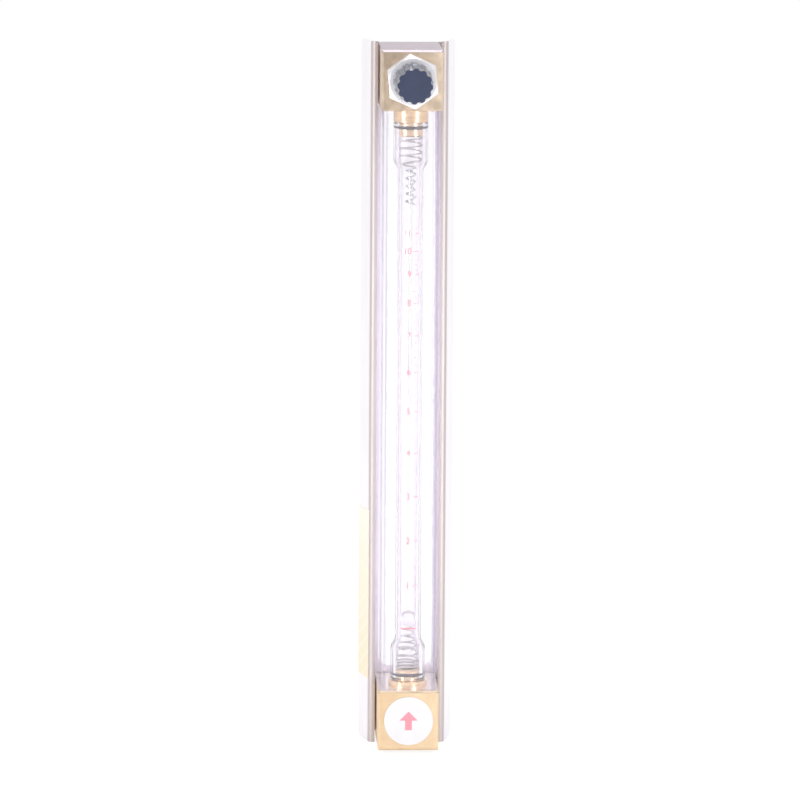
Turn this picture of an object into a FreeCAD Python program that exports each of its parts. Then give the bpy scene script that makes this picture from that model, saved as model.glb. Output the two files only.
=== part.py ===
"""Slim purge rotameter: a tapered glass tube between two brass end blocks in a folded channel.

Millimetres. +Z runs up the tube, -Y is the front with the knob, and the origin is the centre of
the inlet port's mouth behind the bottom block. Every driving dimension is a named cell of the
spreadsheet Sizes, and every feature is bound to those cells by expressions.
"""
import FreeCAD, Part
import math
import os

import Sketcher

V = FreeCAD.Vector
doc = FreeCAD.newDocument("Rotameter")
sheet = doc.addObject("Spreadsheet::Sheet", "Sizes")


class Size:
    """A length that keeps its number and the spreadsheet formula that gives it."""

    def __init__(self, value, formula):
        self.value = value
        self.formula = formula

    def joined(self, other, sign, value):
        text = other.formula if isinstance(other, Size) else repr(other)
        return Size(value, f"({self.formula} {sign} {text})")

    def __add__(self, other):
        return self.joined(other, "+", self.value + number(other))

    def __sub__(self, other):
        return self.joined(other, "-", self.value - number(other))

    def __mul__(self, other):
        return self.joined(other, "*", self.value * number(other))

    def __truediv__(self, other):
        return self.joined(other, "/", self.value / number(other))

    def __neg__(self):
        return self * -1


def number(value):
    """The plain number of a Size or of a number."""
    return value.value if isinstance(value, Size) else value


def size(alias, value, words):
    """One driving dimension: a row of the sheet with its words and its aliased number."""
    size.row += 1
    sheet.set(f"A{size.row}", words)
    sheet.set(f"B{size.row}", str(value))
    sheet.setAlias(f"B{size.row}", alias)
    return Size(value, f"Sizes.{alias}")


size.row = 0

# ---- end blocks and ports ----
block_side = size("block_side", 22.2, "width and height of a block")
block_depth = size("block_depth", 38.5, "block from front face to rear face")
block_chamfer = size("block_chamfer", 0.7, "chamfer round the front face of a block")
port_centres = size("port_centres", 236.8, "height of the outlet port over the inlet port")
boss_radius = size("boss_radius", 8.3, "port boss behind a block")
boss_height = size("boss_height", 2.0, "port boss beyond the rear face")
port_radius = size("port_radius", 5.7, "tapped bore of a port")
port_depth = size("port_depth", 14.0, "tapped bore, from its mouth")
passage_radius = size("passage_radius", 2.6, "drilled passages in the blocks")

# ---- folded channel ----
sheet_wall = size("sheet_wall", 1.0, "thickness of the folded sheet")
lip_setback = size("lip_setback", 22.5, "front of the lips behind the front of the blocks")
lip_gap = size("lip_gap", 0.6, "gap between a block's side and a lip")
lip_lean = size("lip_lean", 0.12, "inner edge of a lip behind its outer corner")
lip_width = size("lip_width", 2.1, "lip as seen from the front")
wall_splay = size("wall_splay", 3.9, "how far a wall runs outwards from front to back")
bend_radius = size("bend_radius", 0.7, "inside radius of each fold")
channel_overhang = size("channel_overhang", 1.4, "walls beyond the end faces of the blocks")
trim_length = size("trim_length", 3.0, "slanted trim at the rear end of a wall")
boss_clearance = size("boss_clearance", 0.25, "round a boss in its hole in the web")
window_margin = size("window_margin", 2.5, "web left beyond each block at the window")
window_side = size("window_side", 20.0, "width of the window in the web")
window_radius = size("window_radius", 4.0, "corner radius of the window")

# ---- shields ----
shield_setback = size("shield_setback", 1.2, "front shield behind the front of the blocks")
shield_inset = size("shield_inset", 1.0, "side of the front shield inside a block's side")
shield_wall = size("shield_wall", 1.6, "wall of the front shield")
shield_radius = size("shield_radius", 2.6, "outside radius of its front edges")
shield_gap = size("shield_gap", 0.25, "between a shield's end and a block")
toe_width = size("toe_width", 2.2, "toe of the front shield, hooked behind a lip")
toe_thickness = size("toe_thickness", 1.4, "toe of the front shield, front to back")
pane_wall = size("pane_wall", 2.0, "thickness of the rear shield")
pane_spare = size("pane_spare", 1.4, "rear shield beyond each side of a block")
pane_lap = size("pane_lap", 2.5, "rear shield trapped behind each block")
pane_clearance = size("pane_clearance", 0.1, "round the trapped ends of the rear shield")

# ---- metering tube and float ----
tube_setback = size("tube_setback", 11.0, "tube axis behind the front of the blocks")
tube_end_radius = size("tube_end_radius", 6.4, "outside of a wide tube end")
tube_neck_radius = size("tube_neck_radius", 4.8, "outside of the metering length")
tube_socket_radius = size("tube_socket_radius", 4.6, "inside of a wide tube end")
tube_end_length = size("tube_end_length", 11.6, "straight length of the lower wide end")
tube_top_length = size("tube_top_length", 13.6, "straight length of the upper wide end")
shoulder_length = size("shoulder_length", 4.0, "from wide end to metering length")
bore_low_radius = size("bore_low_radius", 3.06, "tapered bore at its foot")
bore_high_radius = size("bore_high_radius", 3.5, "tapered bore at its head")
float_radius = size("float_radius", 2.9, "ball float")
float_clearance = size("float_clearance", 0.1, "between the ball and the guide ribs")
rib_radius = size("rib_radius", 0.6, "rounding of a guide rib")
float_rest = size("float_rest", 36.5, "ball's centre at rest, over the inlet port")

# ---- tube inserts and their rings ----
tube_gap = size("tube_gap", 0.4, "glass end to the rim of a collar")
shank_radius = size("shank_radius", 5.0, "screwed shank of an insert")
shank_wall = size("shank_wall", 0.7, "metal between a shank and the bonnet's barrel")
fit_clearance = size("fit_clearance", 0.05, "radial running clearance")
spigot_radius = size("spigot_radius", 4.4, "spigot inside the glass")
collar_spare = size("collar_spare", 1.4, "between the lower collar and the front shield")
low_collar_height = size("low_collar_height", 2.6, "collar of the lower insert")
low_spigot_length = size("low_spigot_length", 4.0, "spigot of the lower insert")
top_collar_radius = size("top_collar_radius", 6.35, "collar of the upper insert")
top_collar_height = size("top_collar_height", 4.7, "collar of the upper insert")
top_spigot_length = size("top_spigot_length", 5.4, "spigot of the upper insert")
tube_ring_wire = size("tube_ring_wire", 0.65, "section radius of the rings in the glass")
tube_ring_place = size("tube_ring_place", 2.1, "ring in the glass, from the collar's rim")
shank_ring_wire = size("shank_ring_wire", 0.6, "section radius of the rings on the shanks")

# ---- stop springs ----
wire_radius = size("wire_radius", 0.29, "spring wire")
low_coil_radius = size("low_coil_radius", 3.9, "seat coils of the lower spring")
low_tip_radius = size("low_tip_radius", 1.6, "last coil under the ball")
low_seat_height = size("low_seat_height", 3.3, "closed coils of the lower spring")
top_coil_radius = size("top_coil_radius", 4.0, "wide coils of the upper spring")
top_tip_radius = size("top_tip_radius", 1.75, "narrow coils of the upper spring")
top_seat_height = size("top_seat_height", 8.25, "wide coils of the upper spring")
top_cone_height = size("top_cone_height", 2.6, "coil that narrows")
top_tip_height = size("top_tip_height", 14.2, "narrow coils of the upper spring")

# ---- needle valve ----
bonnet_flats = size("bonnet_flats", 17.46, "bonnet across its flats")
bonnet_height = size("bonnet_height", 6.0, "hexagon of the bonnet")
bonnet_turn = size("bonnet_turn", -5.5, "how far the bonnet is turned when tight, degrees")
bonnet_barrel_radius = size("bonnet_barrel_radius", 5.8, "screwed barrel of the bonnet")
bonnet_barrel_length = size("bonnet_barrel_length", 6.4, "barrel in the block")
bonnet_nose_radius = size("bonnet_nose_radius", 5.2, "round nose in front of the hexagon")
bonnet_nose_length = size("bonnet_nose_length", 1.2, "round nose in front of the hexagon")
spindle_radius = size("spindle_radius", 2.45, "screwed spindle")
gland_radius = size("gland_radius", 3.05, "bore in the bonnet that the spindle's ring runs in")
gland_spare = size("gland_spare", 0.15, "gland bore left over behind the ring, valve shut")
gland_depth = size("gland_depth", 4.8, "that bore, from the barrel's end")
needle_foot_radius = size("needle_foot_radius", 2.0, "needle where its taper begins")
needle_tip_radius = size("needle_tip_radius", 0.5, "needle at its point")
needle_length = size("needle_length", 8.0, "tapered length of the needle")
seat_radius = size("seat_radius", 3.6, "outside of the pressed seat bush")
seat_length = size("seat_length", 4.0, "length of the seat bush")
seat_orifice = size("seat_orifice", 1.5, "orifice that the needle closes")
seat_sink = size("seat_sink", 0.45, "countersink of the orifice")
seat_setback = size("seat_setback", 18.5, "seat bush behind the front of the block")
chamber_radius = size("chamber_radius", 5.0, "chamber round the needle")
valve_opening = size("valve_opening", 1.2, "needle drawn back from its closed place")
knob_gap = size("knob_gap", 2.0, "between the hexagon and the knob as set")
knob_length = size("knob_length", 17.0, "knob")
knob_rear_radius = size("knob_rear_radius", 7.3, "knob at its rear")
knob_front_radius = size("knob_front_radius", 6.5, "knob at its front")
knob_flutes = size("knob_flutes", 12, "flutes round the knob")
flute_radius = size("flute_radius", 1.15, "hollow radius of a flute")
flute_depth = size("flute_depth", 0.65, "depth of a flute")
flute_turn = size("flute_turn", 12, "degrees from the knob's side to its first flute")
knob_edge = size("knob_edge", 0.6, "bevel round the front of the knob")
set_screw_radius = size("set_screw_radius", 1.5, "set screw of the knob")

# ---- fasteners and labels ----
screw_place = size("screw_place", 8.4, "housing screws off a port's axis, both ways")
screw_radius = size("screw_radius", 1.5, "housing screw")
screw_length = size("screw_length", 8.0, "housing screw in the block")
tap_spare = size("tap_spare", 1.0, "tapped hole beyond a screw's end")
screw_head_radius = size("screw_head_radius", 2.35, "head of a housing screw")
screw_head_height = size("screw_head_height", 1.8, "head of a housing screw")
washer_radius = size("washer_radius", 2.6, "washer under a head")
washer_wall = size("washer_wall", 0.5, "thickness of a washer")
disc_radius = size("disc_radius", 9.0, "round label on the bottom block")
disc_wall = size("disc_wall", 0.5, "thickness of the round label")
strip_low = size("strip_low", 11.4, "foot of the side label over the inlet port")
strip_length = size("strip_length", 63.4, "height of the side label")
strip_width = size("strip_width", 14.6, "width of the side label")
strip_wall = size("strip_wall", 0.15, "thickness of the side label")

# ---- planes that the pieces share ----
rear_face = -boss_height
front_face = rear_face - block_depth
lip_front = front_face + lip_setback
tube_axis = front_face + tube_setback
low_face = block_side / 2
high_face = port_centres - block_side / 2
shank_length = block_side / 2 - bonnet_barrel_radius - shank_wall
shank_ring_place = shank_length / 2
low_collar_radius = block_side / 2 - shield_inset - shield_wall - collar_spare
glass_low = low_face + low_collar_height + tube_gap
glass_high = high_face - top_collar_height - tube_gap
glass_length = glass_high - glass_low
lip_edge = block_side / 2 + lip_gap
lip_corner = lip_edge + lip_width
wall_foot = lip_corner + wall_splay
web_face = rear_face + sheet_wall
knob_rear = front_face - bonnet_height - knob_gap
screw_low = -screw_place
screw_high = port_centres + screw_place


# ---------------------------------------------------------------------------------------------
# Helpers that draw and cut, all bound to the sheet
# ---------------------------------------------------------------------------------------------
def bind(thing, path, value):
    """Ties one property of an object to its formula, or sets it where it is a plain number."""
    if isinstance(value, Size):
        thing.setExpression(path, value.formula)
    else:
        raise TypeError(f"{path} needs a named size")


def new_body(node, x=None, y=None, z=None):
    """An empty Body whose origin stands at the given named place."""
    body = doc.addObject("PartDesign::Body", node)
    body.Label = node
    for axis, value in (("x", x), ("y", y), ("z", z)):
        if value is not None:
            bind(body, f"Placement.Base.{axis}", value)
    return body


def new_sketch(body, role, offset=None):
    """A sketch on one of the body's own origin planes, moved along its normal by offset."""
    plane = [item for item in body.Origin.OriginFeatures if item.Role == role][0]
    drawing = body.newObject("Sketcher::SketchObject", body.Name + "_sketch")
    drawing.AttachmentSupport = [(plane, "")]
    drawing.MapMode = "FlatFace"
    if offset is not None:
        bind(drawing, "AttachmentOffset.Base.z", offset)
    return drawing


def pin_point(drawing, edge, end, place):
    """Holds one end of an edge, or a circle's centre, at its place from the sketch's origin."""
    for kind, axis, value in (("DistanceX", -2, place[0]), ("DistanceY", -1, place[1])):
        if number(value) == 0:
            drawing.addConstraint(Sketcher.Constraint("PointOnObject", edge, end, axis))
            continue
        rule = Sketcher.Constraint(kind, -1, 1, edge, end, number(value))
        index = drawing.addConstraint(rule)
        if isinstance(value, Size):
            drawing.setExpression(f"Constraints[{index}]", value.formula)


def draw_polygon(drawing, corners):
    """A closed outline through the corners, each held at its named place."""
    first = drawing.GeometryCount
    count = len(corners)
    points = [V(number(x), number(y), 0) for x, y in corners]
    for i in range(count):
        drawing.addGeometry(Part.LineSegment(points[i], points[(i + 1) % count]), False)
    for i in range(count):
        after = first + (i + 1) % count
        drawing.addConstraint(Sketcher.Constraint("Coincident", first + i, 2, after, 1))
    for i, corner in enumerate(corners):
        pin_point(drawing, first + i, 1, corner)


def draw_circle(drawing, x, y, radius):
    """A circle of a named radius round a named centre."""
    shape = Part.Circle(V(number(x), number(y), 0), V(0, 0, 1), number(radius))
    edge = drawing.addGeometry(shape, False)
    pin_point(drawing, edge, 3, (x, y))
    index = drawing.addConstraint(Sketcher.Constraint("Radius", edge, number(radius)))
    drawing.setExpression(f"Constraints[{index}]", radius.formula)


def draw_hexagon(drawing, flats, turn):
    """A regular hexagon round the origin, its size across the flats and turned by an angle."""
    radius = number(flats) / math.sqrt(3)
    start = math.radians(90 - number(turn))
    points = [V(radius * math.cos(start + i * math.pi / 3),
                radius * math.sin(start + i * math.pi / 3), 0) for i in range(6)]
    for i in range(6):
        drawing.addGeometry(Part.LineSegment(points[i], points[(i + 1) % 6]), False)
    circle = drawing.addGeometry(Part.Circle(V(0, 0, 0), V(0, 0, 1), radius), True)
    for i in range(6):
        drawing.addConstraint(Sketcher.Constraint("Coincident", i, 2, (i + 1) % 6, 1))
        drawing.addConstraint(Sketcher.Constraint("PointOnObject", i, 1, circle))
    for i in range(5):
        drawing.addConstraint(Sketcher.Constraint("Equal", i, i + 1))
    drawing.addConstraint(Sketcher.Constraint("Coincident", circle, 3, -1, 1))
    index = drawing.addConstraint(Sketcher.Constraint("Radius", circle, radius))
    drawing.setExpression(f"Constraints[{index}]", f"{flats.formula} / sqrt(3)")
    spoke = drawing.addGeometry(Part.LineSegment(V(0, 0, 0), points[0]), True)
    drawing.addConstraint(Sketcher.Constraint("Coincident", spoke, 1, -1, 1))
    drawing.addConstraint(Sketcher.Constraint("Coincident", spoke, 2, 0, 1))
    index = drawing.addConstraint(Sketcher.Constraint("Angle", spoke, start))
    drawing.setExpression(f"Constraints[{index}]", f"(90 - {turn.formula}) * 1 deg")


def draw_round_section(drawing, x, y, reach):
    """The eight-sided section that stands for round wire or cord, round a named centre."""
    half = reach * math.tan(math.pi / 8)
    draw_polygon(drawing, [
        (x + reach, y - half), (x + reach, y + half), (x + half, y + reach),
        (x - half, y + reach), (x - reach, y + half), (x - reach, y - half),
        (x - half, y - reach), (x + half, y - reach)])


def feature(body, kind, drawing, **settings):
    """Adds one feature of a sketch to the body, with plain settings or named sizes."""
    item = body.newObject("PartDesign::" + kind, body.Name + "_" + kind.lower())
    item.Profile = drawing
    for name, value in settings.items():
        if isinstance(value, Size):
            bind(item, name, value)
        else:
            setattr(item, name, value)
    drawing.Visibility = False
    doc.recompute()
    return item


def turn_profile(body, kind, role, corners):
    """Revolves an outline of (radius, height) corners about the sketch's upright axis."""
    drawing = new_sketch(body, role)
    draw_polygon(drawing, corners)
    return feature(body, kind, drawing, ReferenceAxis=(drawing, ["V_Axis"]), Angle=360.0)


def cut_checked(body, before, words):
    """Stops the build when a cut has taken nothing away."""
    if body.Shape.Volume > before - 1e-6:
        raise RuntimeError(f"{body.Label}: {words} cuts nothing")


def edges_where(shape, test):
    """The names of the edges whose middle passes a test."""
    return [f"Edge{i + 1}" for i, edge in enumerate(shape.Edges) if test(edge)]


def near(a, b):
    return abs(a - b) < 1e-4


def copies(body, item, axis, count):
    """Repeats a feature evenly round one of the body's origin axes."""
    line = [part for part in body.Origin.OriginFeatures if part.Role == axis][0]
    pattern = body.newObject("PartDesign::PolarPattern", body.Name + "_pattern")
    pattern.Originals = [item]
    pattern.Axis = (line, [""])
    pattern.Angle = 360
    if isinstance(count, Size):
        bind(pattern, "Occurrences", count)
    else:
        pattern.Occurrences = count
    body.Tip = pattern
    doc.recompute()
    return pattern


def seal_ring(node, wire, ring, placement_y, placement_z, upright=False):
    """A rubber ring, flat or standing on edge round the valve's axis."""
    body = new_body(node, y=placement_y, z=placement_z)
    drawing = new_sketch(body, "XY_Plane" if upright else "XZ_Plane")
    draw_round_section(drawing, ring, wire * 0, wire)
    feature(body, "Revolution", drawing, ReferenceAxis=(drawing, ["V_Axis"]), Angle=360.0)
    return body


# ---------------------------------------------------------------------------------------------
# Housing: folded channel, blocks, shields
# ---------------------------------------------------------------------------------------------
def housing_channel():
    """One folded sheet: rear web, two splayed walls, two lips turned in beside the blocks."""
    body = new_body("housing_channel")
    overall_low = -(block_side / 2 + channel_overhang)
    length = port_centres + block_side + channel_overhang * 2
    slope = wall_splay / (lip_setback * -1 + block_depth + sheet_wall)
    lip_inner = lip_front + lip_lean
    skew = (slope * slope + 1).value ** 0.5
    wall_x = sheet_wall * skew
    inner_front = lip_corner - wall_x + slope * sheet_wall
    inner_rear = wall_foot - wall_x - slope * sheet_wall
    half = [
        (lip_edge, lip_inner), (lip_corner, lip_front), (wall_foot, web_face),
        (-wall_foot, web_face), (-lip_corner, lip_front), (-lip_edge, lip_inner),
        (-lip_edge, lip_inner + sheet_wall), (-inner_front, lip_front + sheet_wall),
        (-inner_rear, rear_face), (inner_rear, rear_face),
        (inner_front, lip_front + sheet_wall), (lip_edge, lip_inner + sheet_wall),
    ]
    section = new_sketch(body, "XY_Plane", overall_low)
    draw_polygon(section, half)
    pad = feature(body, "Pad", section, Length=length)

    def fold_edges(corners):
        def at_corner(edge):
            low, high = edge.BoundBox.ZMin, edge.BoundBox.ZMax
            middle = edge.CenterOfMass
            on_corner = any(near(abs(middle.x), x) and near(middle.y, y) for x, y in corners)
            return high - low > 0.9 * length.value and on_corner
        return at_corner

    outside = [(lip_corner.value, lip_front.value), (wall_foot.value, web_face.value)]
    inside = [(inner_front.value, lip_front.value + sheet_wall.value),
              (inner_rear.value, rear_face.value)]
    tip = pad
    for corners, radius in ((outside, bend_radius + sheet_wall), (inside, bend_radius)):
        fold = body.newObject("PartDesign::Fillet", "channel_fold")
        fold.Base = (tip, edges_where(tip.Shape, fold_edges(corners)))
        bind(fold, "Radius", radius)
        doc.recompute()
        tip = fold

    before = body.Shape.Volume
    window = new_sketch(body, "XZ_Plane")
    foot, head = low_face + window_margin, high_face - window_margin
    draw_polygon(window, [(-window_side / 2, foot), (window_side / 2, foot),
                          (window_side / 2, head), (-window_side / 2, head)])
    cut = feature(body, "Pocket", window, Length=boss_height * 3, Midplane=True)
    cut_checked(body, before, "window")
    round_corner = body.newObject("PartDesign::Fillet", "window_corners")

    def window_corner(edge):
        middle = edge.CenterOfMass
        across = near(abs(middle.x), window_side.value / 2)
        upright = near(middle.z, foot.value) or near(middle.z, head.value)
        return across and upright and near(edge.Length, sheet_wall.value)

    round_corner.Base = (cut, edges_where(cut.Shape, window_corner))
    bind(round_corner, "Radius", window_radius)
    doc.recompute()

    before = body.Shape.Volume
    holes = new_sketch(body, "XZ_Plane")
    hole = boss_radius + boss_clearance
    for height, row in ((port_centres * 0, screw_low), (port_centres, screw_high)):
        draw_circle(holes, 0, 0 if number(height) == 0 else height, hole)
        for side in (-1, 1):
            draw_circle(holes, screw_place * side, row, screw_radius + boss_clearance)
    feature(body, "Pocket", holes, Length=boss_height * 3, Midplane=True)
    cut_checked(body, before, "web holes")

    before = body.Shape.Volume
    ends = new_sketch(body, "YZ_Plane")
    far = channel_overhang * 3
    slant_front = rear_face - trim_length
    for face, way in ((-low_face, -1), (port_centres + block_side / 2, 1)):
        draw_polygon(ends, [
            (web_face + far, face), (rear_face, face),
            (slant_front, face + channel_overhang * way),
            (slant_front, face + far * way), (web_face + far, face + far * way)])
    feature(body, "Pocket", ends, Length=wall_foot * 3, Midplane=True)
    cut_checked(body, before, "end trim")
    return body


def plain_block(node, centre, inward):
    """A square bar with a chamfered front, a port boss and a rebate for the rear shield."""
    body = new_body(node, y=rear_face, z=centre)
    face = new_sketch(body, "XZ_Plane")
    half = block_side / 2
    draw_polygon(face, [(-half, -half), (half, -half), (half, half), (-half, half)])
    bar = feature(body, "Pad", face, Length=block_depth)
    bevel = body.newObject("PartDesign::Chamfer", node + "_bevel")
    bevel.Base = (bar, edges_where(bar.Shape, lambda e: near(e.CenterOfMass.y, -block_depth.value)
                                   and near(e.Length, block_side.value)))
    bind(bevel, "Size", block_chamfer)
    doc.recompute()
    boss = new_sketch(body, "XZ_Plane")
    draw_circle(boss, 0, 0, boss_radius)
    feature(body, "Pad", boss, Length=boss_height, Reversed=True)

    before = body.Shape.Volume
    rebate = new_sketch(body, "YZ_Plane")
    step = pane_wall + pane_clearance
    shelf = half - pane_lap - pane_clearance
    over = half + pane_lap
    draw_polygon(rebate, [(-step, shelf * inward), (boss_height, shelf * inward),
                          (boss_height, over * inward), (-step, over * inward)])
    feature(body, "Pocket", rebate, Length=block_side * 2, Midplane=True)
    cut_checked(body, before, "shield rebate")

    before = body.Shape.Volume
    taps = new_sketch(body, "XZ_Plane")
    for side in (-1, 1):
        draw_circle(taps, screw_place * side, -screw_place * inward, screw_radius)
    feature(body, "Pocket", taps, Length=screw_length + tap_spare, Reversed=True)
    cut_checked(body, before, "screw holes")

    before = body.Shape.Volume
    socket = new_sketch(body, "XY_Plane", half * inward)
    draw_circle(socket, 0, tube_setback - block_depth, shank_radius + fit_clearance)
    feature(body, "Pocket", socket, Length=shank_length + tube_gap, Reversed=inward < 0)
    cut_checked(body, before, "insert socket")

    before = body.Shape.Volume
    riser = new_sketch(body, "XY_Plane", half * inward)
    draw_circle(riser, 0, tube_setback - block_depth, passage_radius)
    feature(body, "Pocket", riser, Length=half + passage_radius / 2, Reversed=inward < 0)
    cut_checked(body, before, "riser")
    return body


def bottom_block():
    """Inlet: a tapped port, then a passage to the riser under the tube."""
    body = plain_block("bottom_block", port_centres * 0, 1)
    before = body.Shape.Volume
    mouth = boss_height
    floor = boss_height - port_depth
    turn_profile(body, "Groove", "XY_Plane", [
        (0, mouth), (port_radius, mouth), (port_radius, floor), (passage_radius, floor),
        (passage_radius, tube_setback - block_depth), (0, tube_setback - block_depth)])
    cut_checked(body, before, "inlet bore")
    return body


def top_block():
    """Outlet: one stepped bore from the bonnet's thread through the seat to the tapped port."""
    body = plain_block("top_block", port_centres, -1)
    before = body.Shape.Volume
    mouth = boss_height
    floor = boss_height - port_depth
    seat_front = seat_setback - block_depth
    seat_rear = seat_front + seat_length
    barrel_end = bonnet_barrel_length - block_depth + tube_gap
    front = -block_depth
    barrel = bonnet_barrel_radius + fit_clearance
    turn_profile(body, "Groove", "XY_Plane", [
        (0, mouth), (port_radius, mouth), (port_radius, floor), (passage_radius, floor),
        (passage_radius, seat_rear), (seat_radius, seat_rear), (seat_radius, seat_front),
        (chamber_radius, seat_front), (chamber_radius, barrel_end), (barrel, barrel_end),
        (barrel, front), (0, front)])
    cut_checked(body, before, "valve bore")
    return body


def front_shield():
    """A clear channel between the blocks, its toes hooked behind the lips of the housing."""
    body = new_body("front_shield")
    side = block_side / 2 - shield_inset
    front = front_face + shield_setback
    toe_front = lip_front + lip_lean + sheet_wall
    toe_rear = toe_front + toe_thickness
    inner = side - shield_wall
    section = new_sketch(body, "XY_Plane", low_face + shield_gap)
    draw_polygon(section, [
        (-side, front), (side, front), (side, toe_front), (side + toe_width, toe_front),
        (side + toe_width, toe_rear), (inner, toe_rear), (inner, front + shield_wall),
        (-inner, front + shield_wall), (-inner, toe_rear), (-side - toe_width, toe_rear),
        (-side - toe_width, toe_front), (-side, toe_front)])
    length = high_face - low_face - shield_gap * 2
    tip = feature(body, "Pad", section, Length=length)
    for x, y, radius in ((side, front, shield_radius),
                         (inner, front + shield_wall, shield_radius - shield_wall)):
        bend = body.newObject("PartDesign::Fillet", "shield_bend")

        def at_corner(edge, x=x.value, y=y.value):
            middle = edge.CenterOfMass
            return near(abs(middle.x), x) and near(middle.y, y) and near(edge.Length, length.value)

        bend.Base = (tip, edges_where(tip.Shape, at_corner))
        bind(bend, "Radius", radius)
        doc.recompute()
        tip = bend
    return body


def rear_shield():
    """A clear plate against the web, its ends trapped in the rebates behind the blocks."""
    plate = doc.addObject("Part::Box", "rear_shield")
    plate.Label = "rear_shield"
    bind(plate, "Length", block_side + pane_spare * 2)
    bind(plate, "Width", pane_wall)
    bind(plate, "Height", high_face - low_face + pane_lap * 2)
    bind(plate, "Placement.Base.x", -block_side / 2 - pane_spare)
    bind(plate, "Placement.Base.y", rear_face - pane_wall)
    bind(plate, "Placement.Base.z", low_face - pane_lap)
    return plate


# ---------------------------------------------------------------------------------------------
# Measuring line: tube, float, inserts, rings, springs
# ---------------------------------------------------------------------------------------------
def metering_tube():
    """Glass with two wide ends and a tapered bore whose three ribs guide the ball.

    The bore widens upwards while the crests of the ribs stay one clearance off the ball, so
    the gap between the ribs grows with height and the ball stays on the axis.
    """
    body = new_body("metering_tube", y=tube_axis, z=glass_low)
    end, neck, socket = tube_end_radius, tube_neck_radius, tube_socket_radius
    low_shoulder = tube_end_length
    low_neck = low_shoulder + shoulder_length
    high_shoulder = glass_length - tube_top_length
    high_neck = high_shoulder - shoulder_length
    bore_low, bore_high = bore_low_radius, bore_high_radius
    blank = turn_profile(body, "Revolution", "XZ_Plane", [
        (socket, 0), (end, 0), (end, low_shoulder), (neck, low_neck), (neck, high_neck),
        (end, high_shoulder), (end, glass_length), (socket, glass_length),
        (socket, high_shoulder), (bore_high, high_neck), (bore_low, low_neck),
        (socket, low_shoulder)])
    blend = body.newObject("PartDesign::Fillet", "shoulder_blend")

    def on_shoulder(edge):
        heights = (low_shoulder, low_neck, high_neck, high_shoulder)
        radii = (end, neck, neck, end)
        middle = edge.CenterOfMass
        span = edge.BoundBox.XLength / 2
        return any(near(middle.z, z.value) and near(span, r.value) for z, r in zip(heights, radii))

    blend.Base = (blank, edges_where(blank.Shape, on_shoulder))
    bind(blend, "Radius", shoulder_length)
    doc.recompute()

    before = body.Shape.Volume
    rib = new_sketch(body, "XY_Plane", low_neck)
    draw_circle(rib, 0, float_radius + float_clearance + rib_radius, rib_radius)
    bar = feature(body, "Pad", rib, Length=high_neck - low_neck)
    copies(body, bar, "Z_Axis", 3)
    if body.Shape.Volume < before + 1:
        raise RuntimeError("metering_tube: guide ribs add nothing")
    return body


def float_ball():
    """The ball, at rest on the last coil of the lower spring."""
    ball = doc.addObject("Part::Sphere", "float_ball")
    ball.Label = "float_ball"
    bind(ball, "Radius", float_radius)
    bind(ball, "Placement.Base.y", tube_axis)
    bind(ball, "Placement.Base.z", float_rest)
    return ball


def tube_insert(node, face, way, collar_radius, collar_height, spigot_length):
    """A turned insert: shank in the block, collar, then a grooved spigot inside the glass.

    Heights run from the block's face towards the glass. way is 1 upwards, -1 downwards.
    """
    body = new_body(node, y=tube_axis, z=face)
    rim = collar_height
    shank_groove = shank_radius - shank_ring_wire * 2 + fit_clearance
    spigot_groove = tube_socket_radius - tube_ring_wire * 2
    spigot_edge = 0.4
    heights = [
        (passage_radius, -shank_length), (shank_radius, -shank_length),
        (shank_radius, -shank_ring_place - shank_ring_wire),
        (shank_groove, -shank_ring_place - shank_ring_wire),
        (shank_groove, -shank_ring_place + shank_ring_wire),
        (shank_radius, -shank_ring_place + shank_ring_wire), (shank_radius, 0),
        (collar_radius, 0), (collar_radius, rim), (spigot_radius, rim),
        (spigot_radius, rim + tube_ring_place - tube_ring_wire),
        (spigot_groove, rim + tube_ring_place - tube_ring_wire),
        (spigot_groove, rim + tube_ring_place + tube_ring_wire),
        (spigot_radius, rim + tube_ring_place + tube_ring_wire),
        (spigot_radius, rim + spigot_length - spigot_edge),
        (spigot_radius - spigot_edge, rim + spigot_length),
        (passage_radius, rim + spigot_length)]
    turn_profile(body, "Revolution", "XZ_Plane", [(r, h * way if number(h) else 0)
                                                  for r, h in heights])
    return body


def stop_spring(node, start, way, stages):
    """A wound spring from its seat: each stage is (first radius, last radius, height, turns)."""
    body = new_body(node, y=tube_axis, z=start)
    base = wire_radius * 0
    for first, last, height, turns in stages:
        drawing = new_sketch(body, "XZ_Plane")
        draw_round_section(drawing, first, base * way, wire_radius)
        coil = body.newObject("PartDesign::AdditiveHelix", node + "_coil")
        coil.Profile = drawing
        coil.ReferenceAxis = (drawing, ["V_Axis"])
        coil.Mode = "height-turns-growth"
        coil.Turns = turns
        bind(coil, "Height", height)
        bind(coil, "Growth", (last - first) / turns)
        coil.Reversed = way < 0
        drawing.Visibility = False
        doc.recompute()
        base = base + height
    return body


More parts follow.
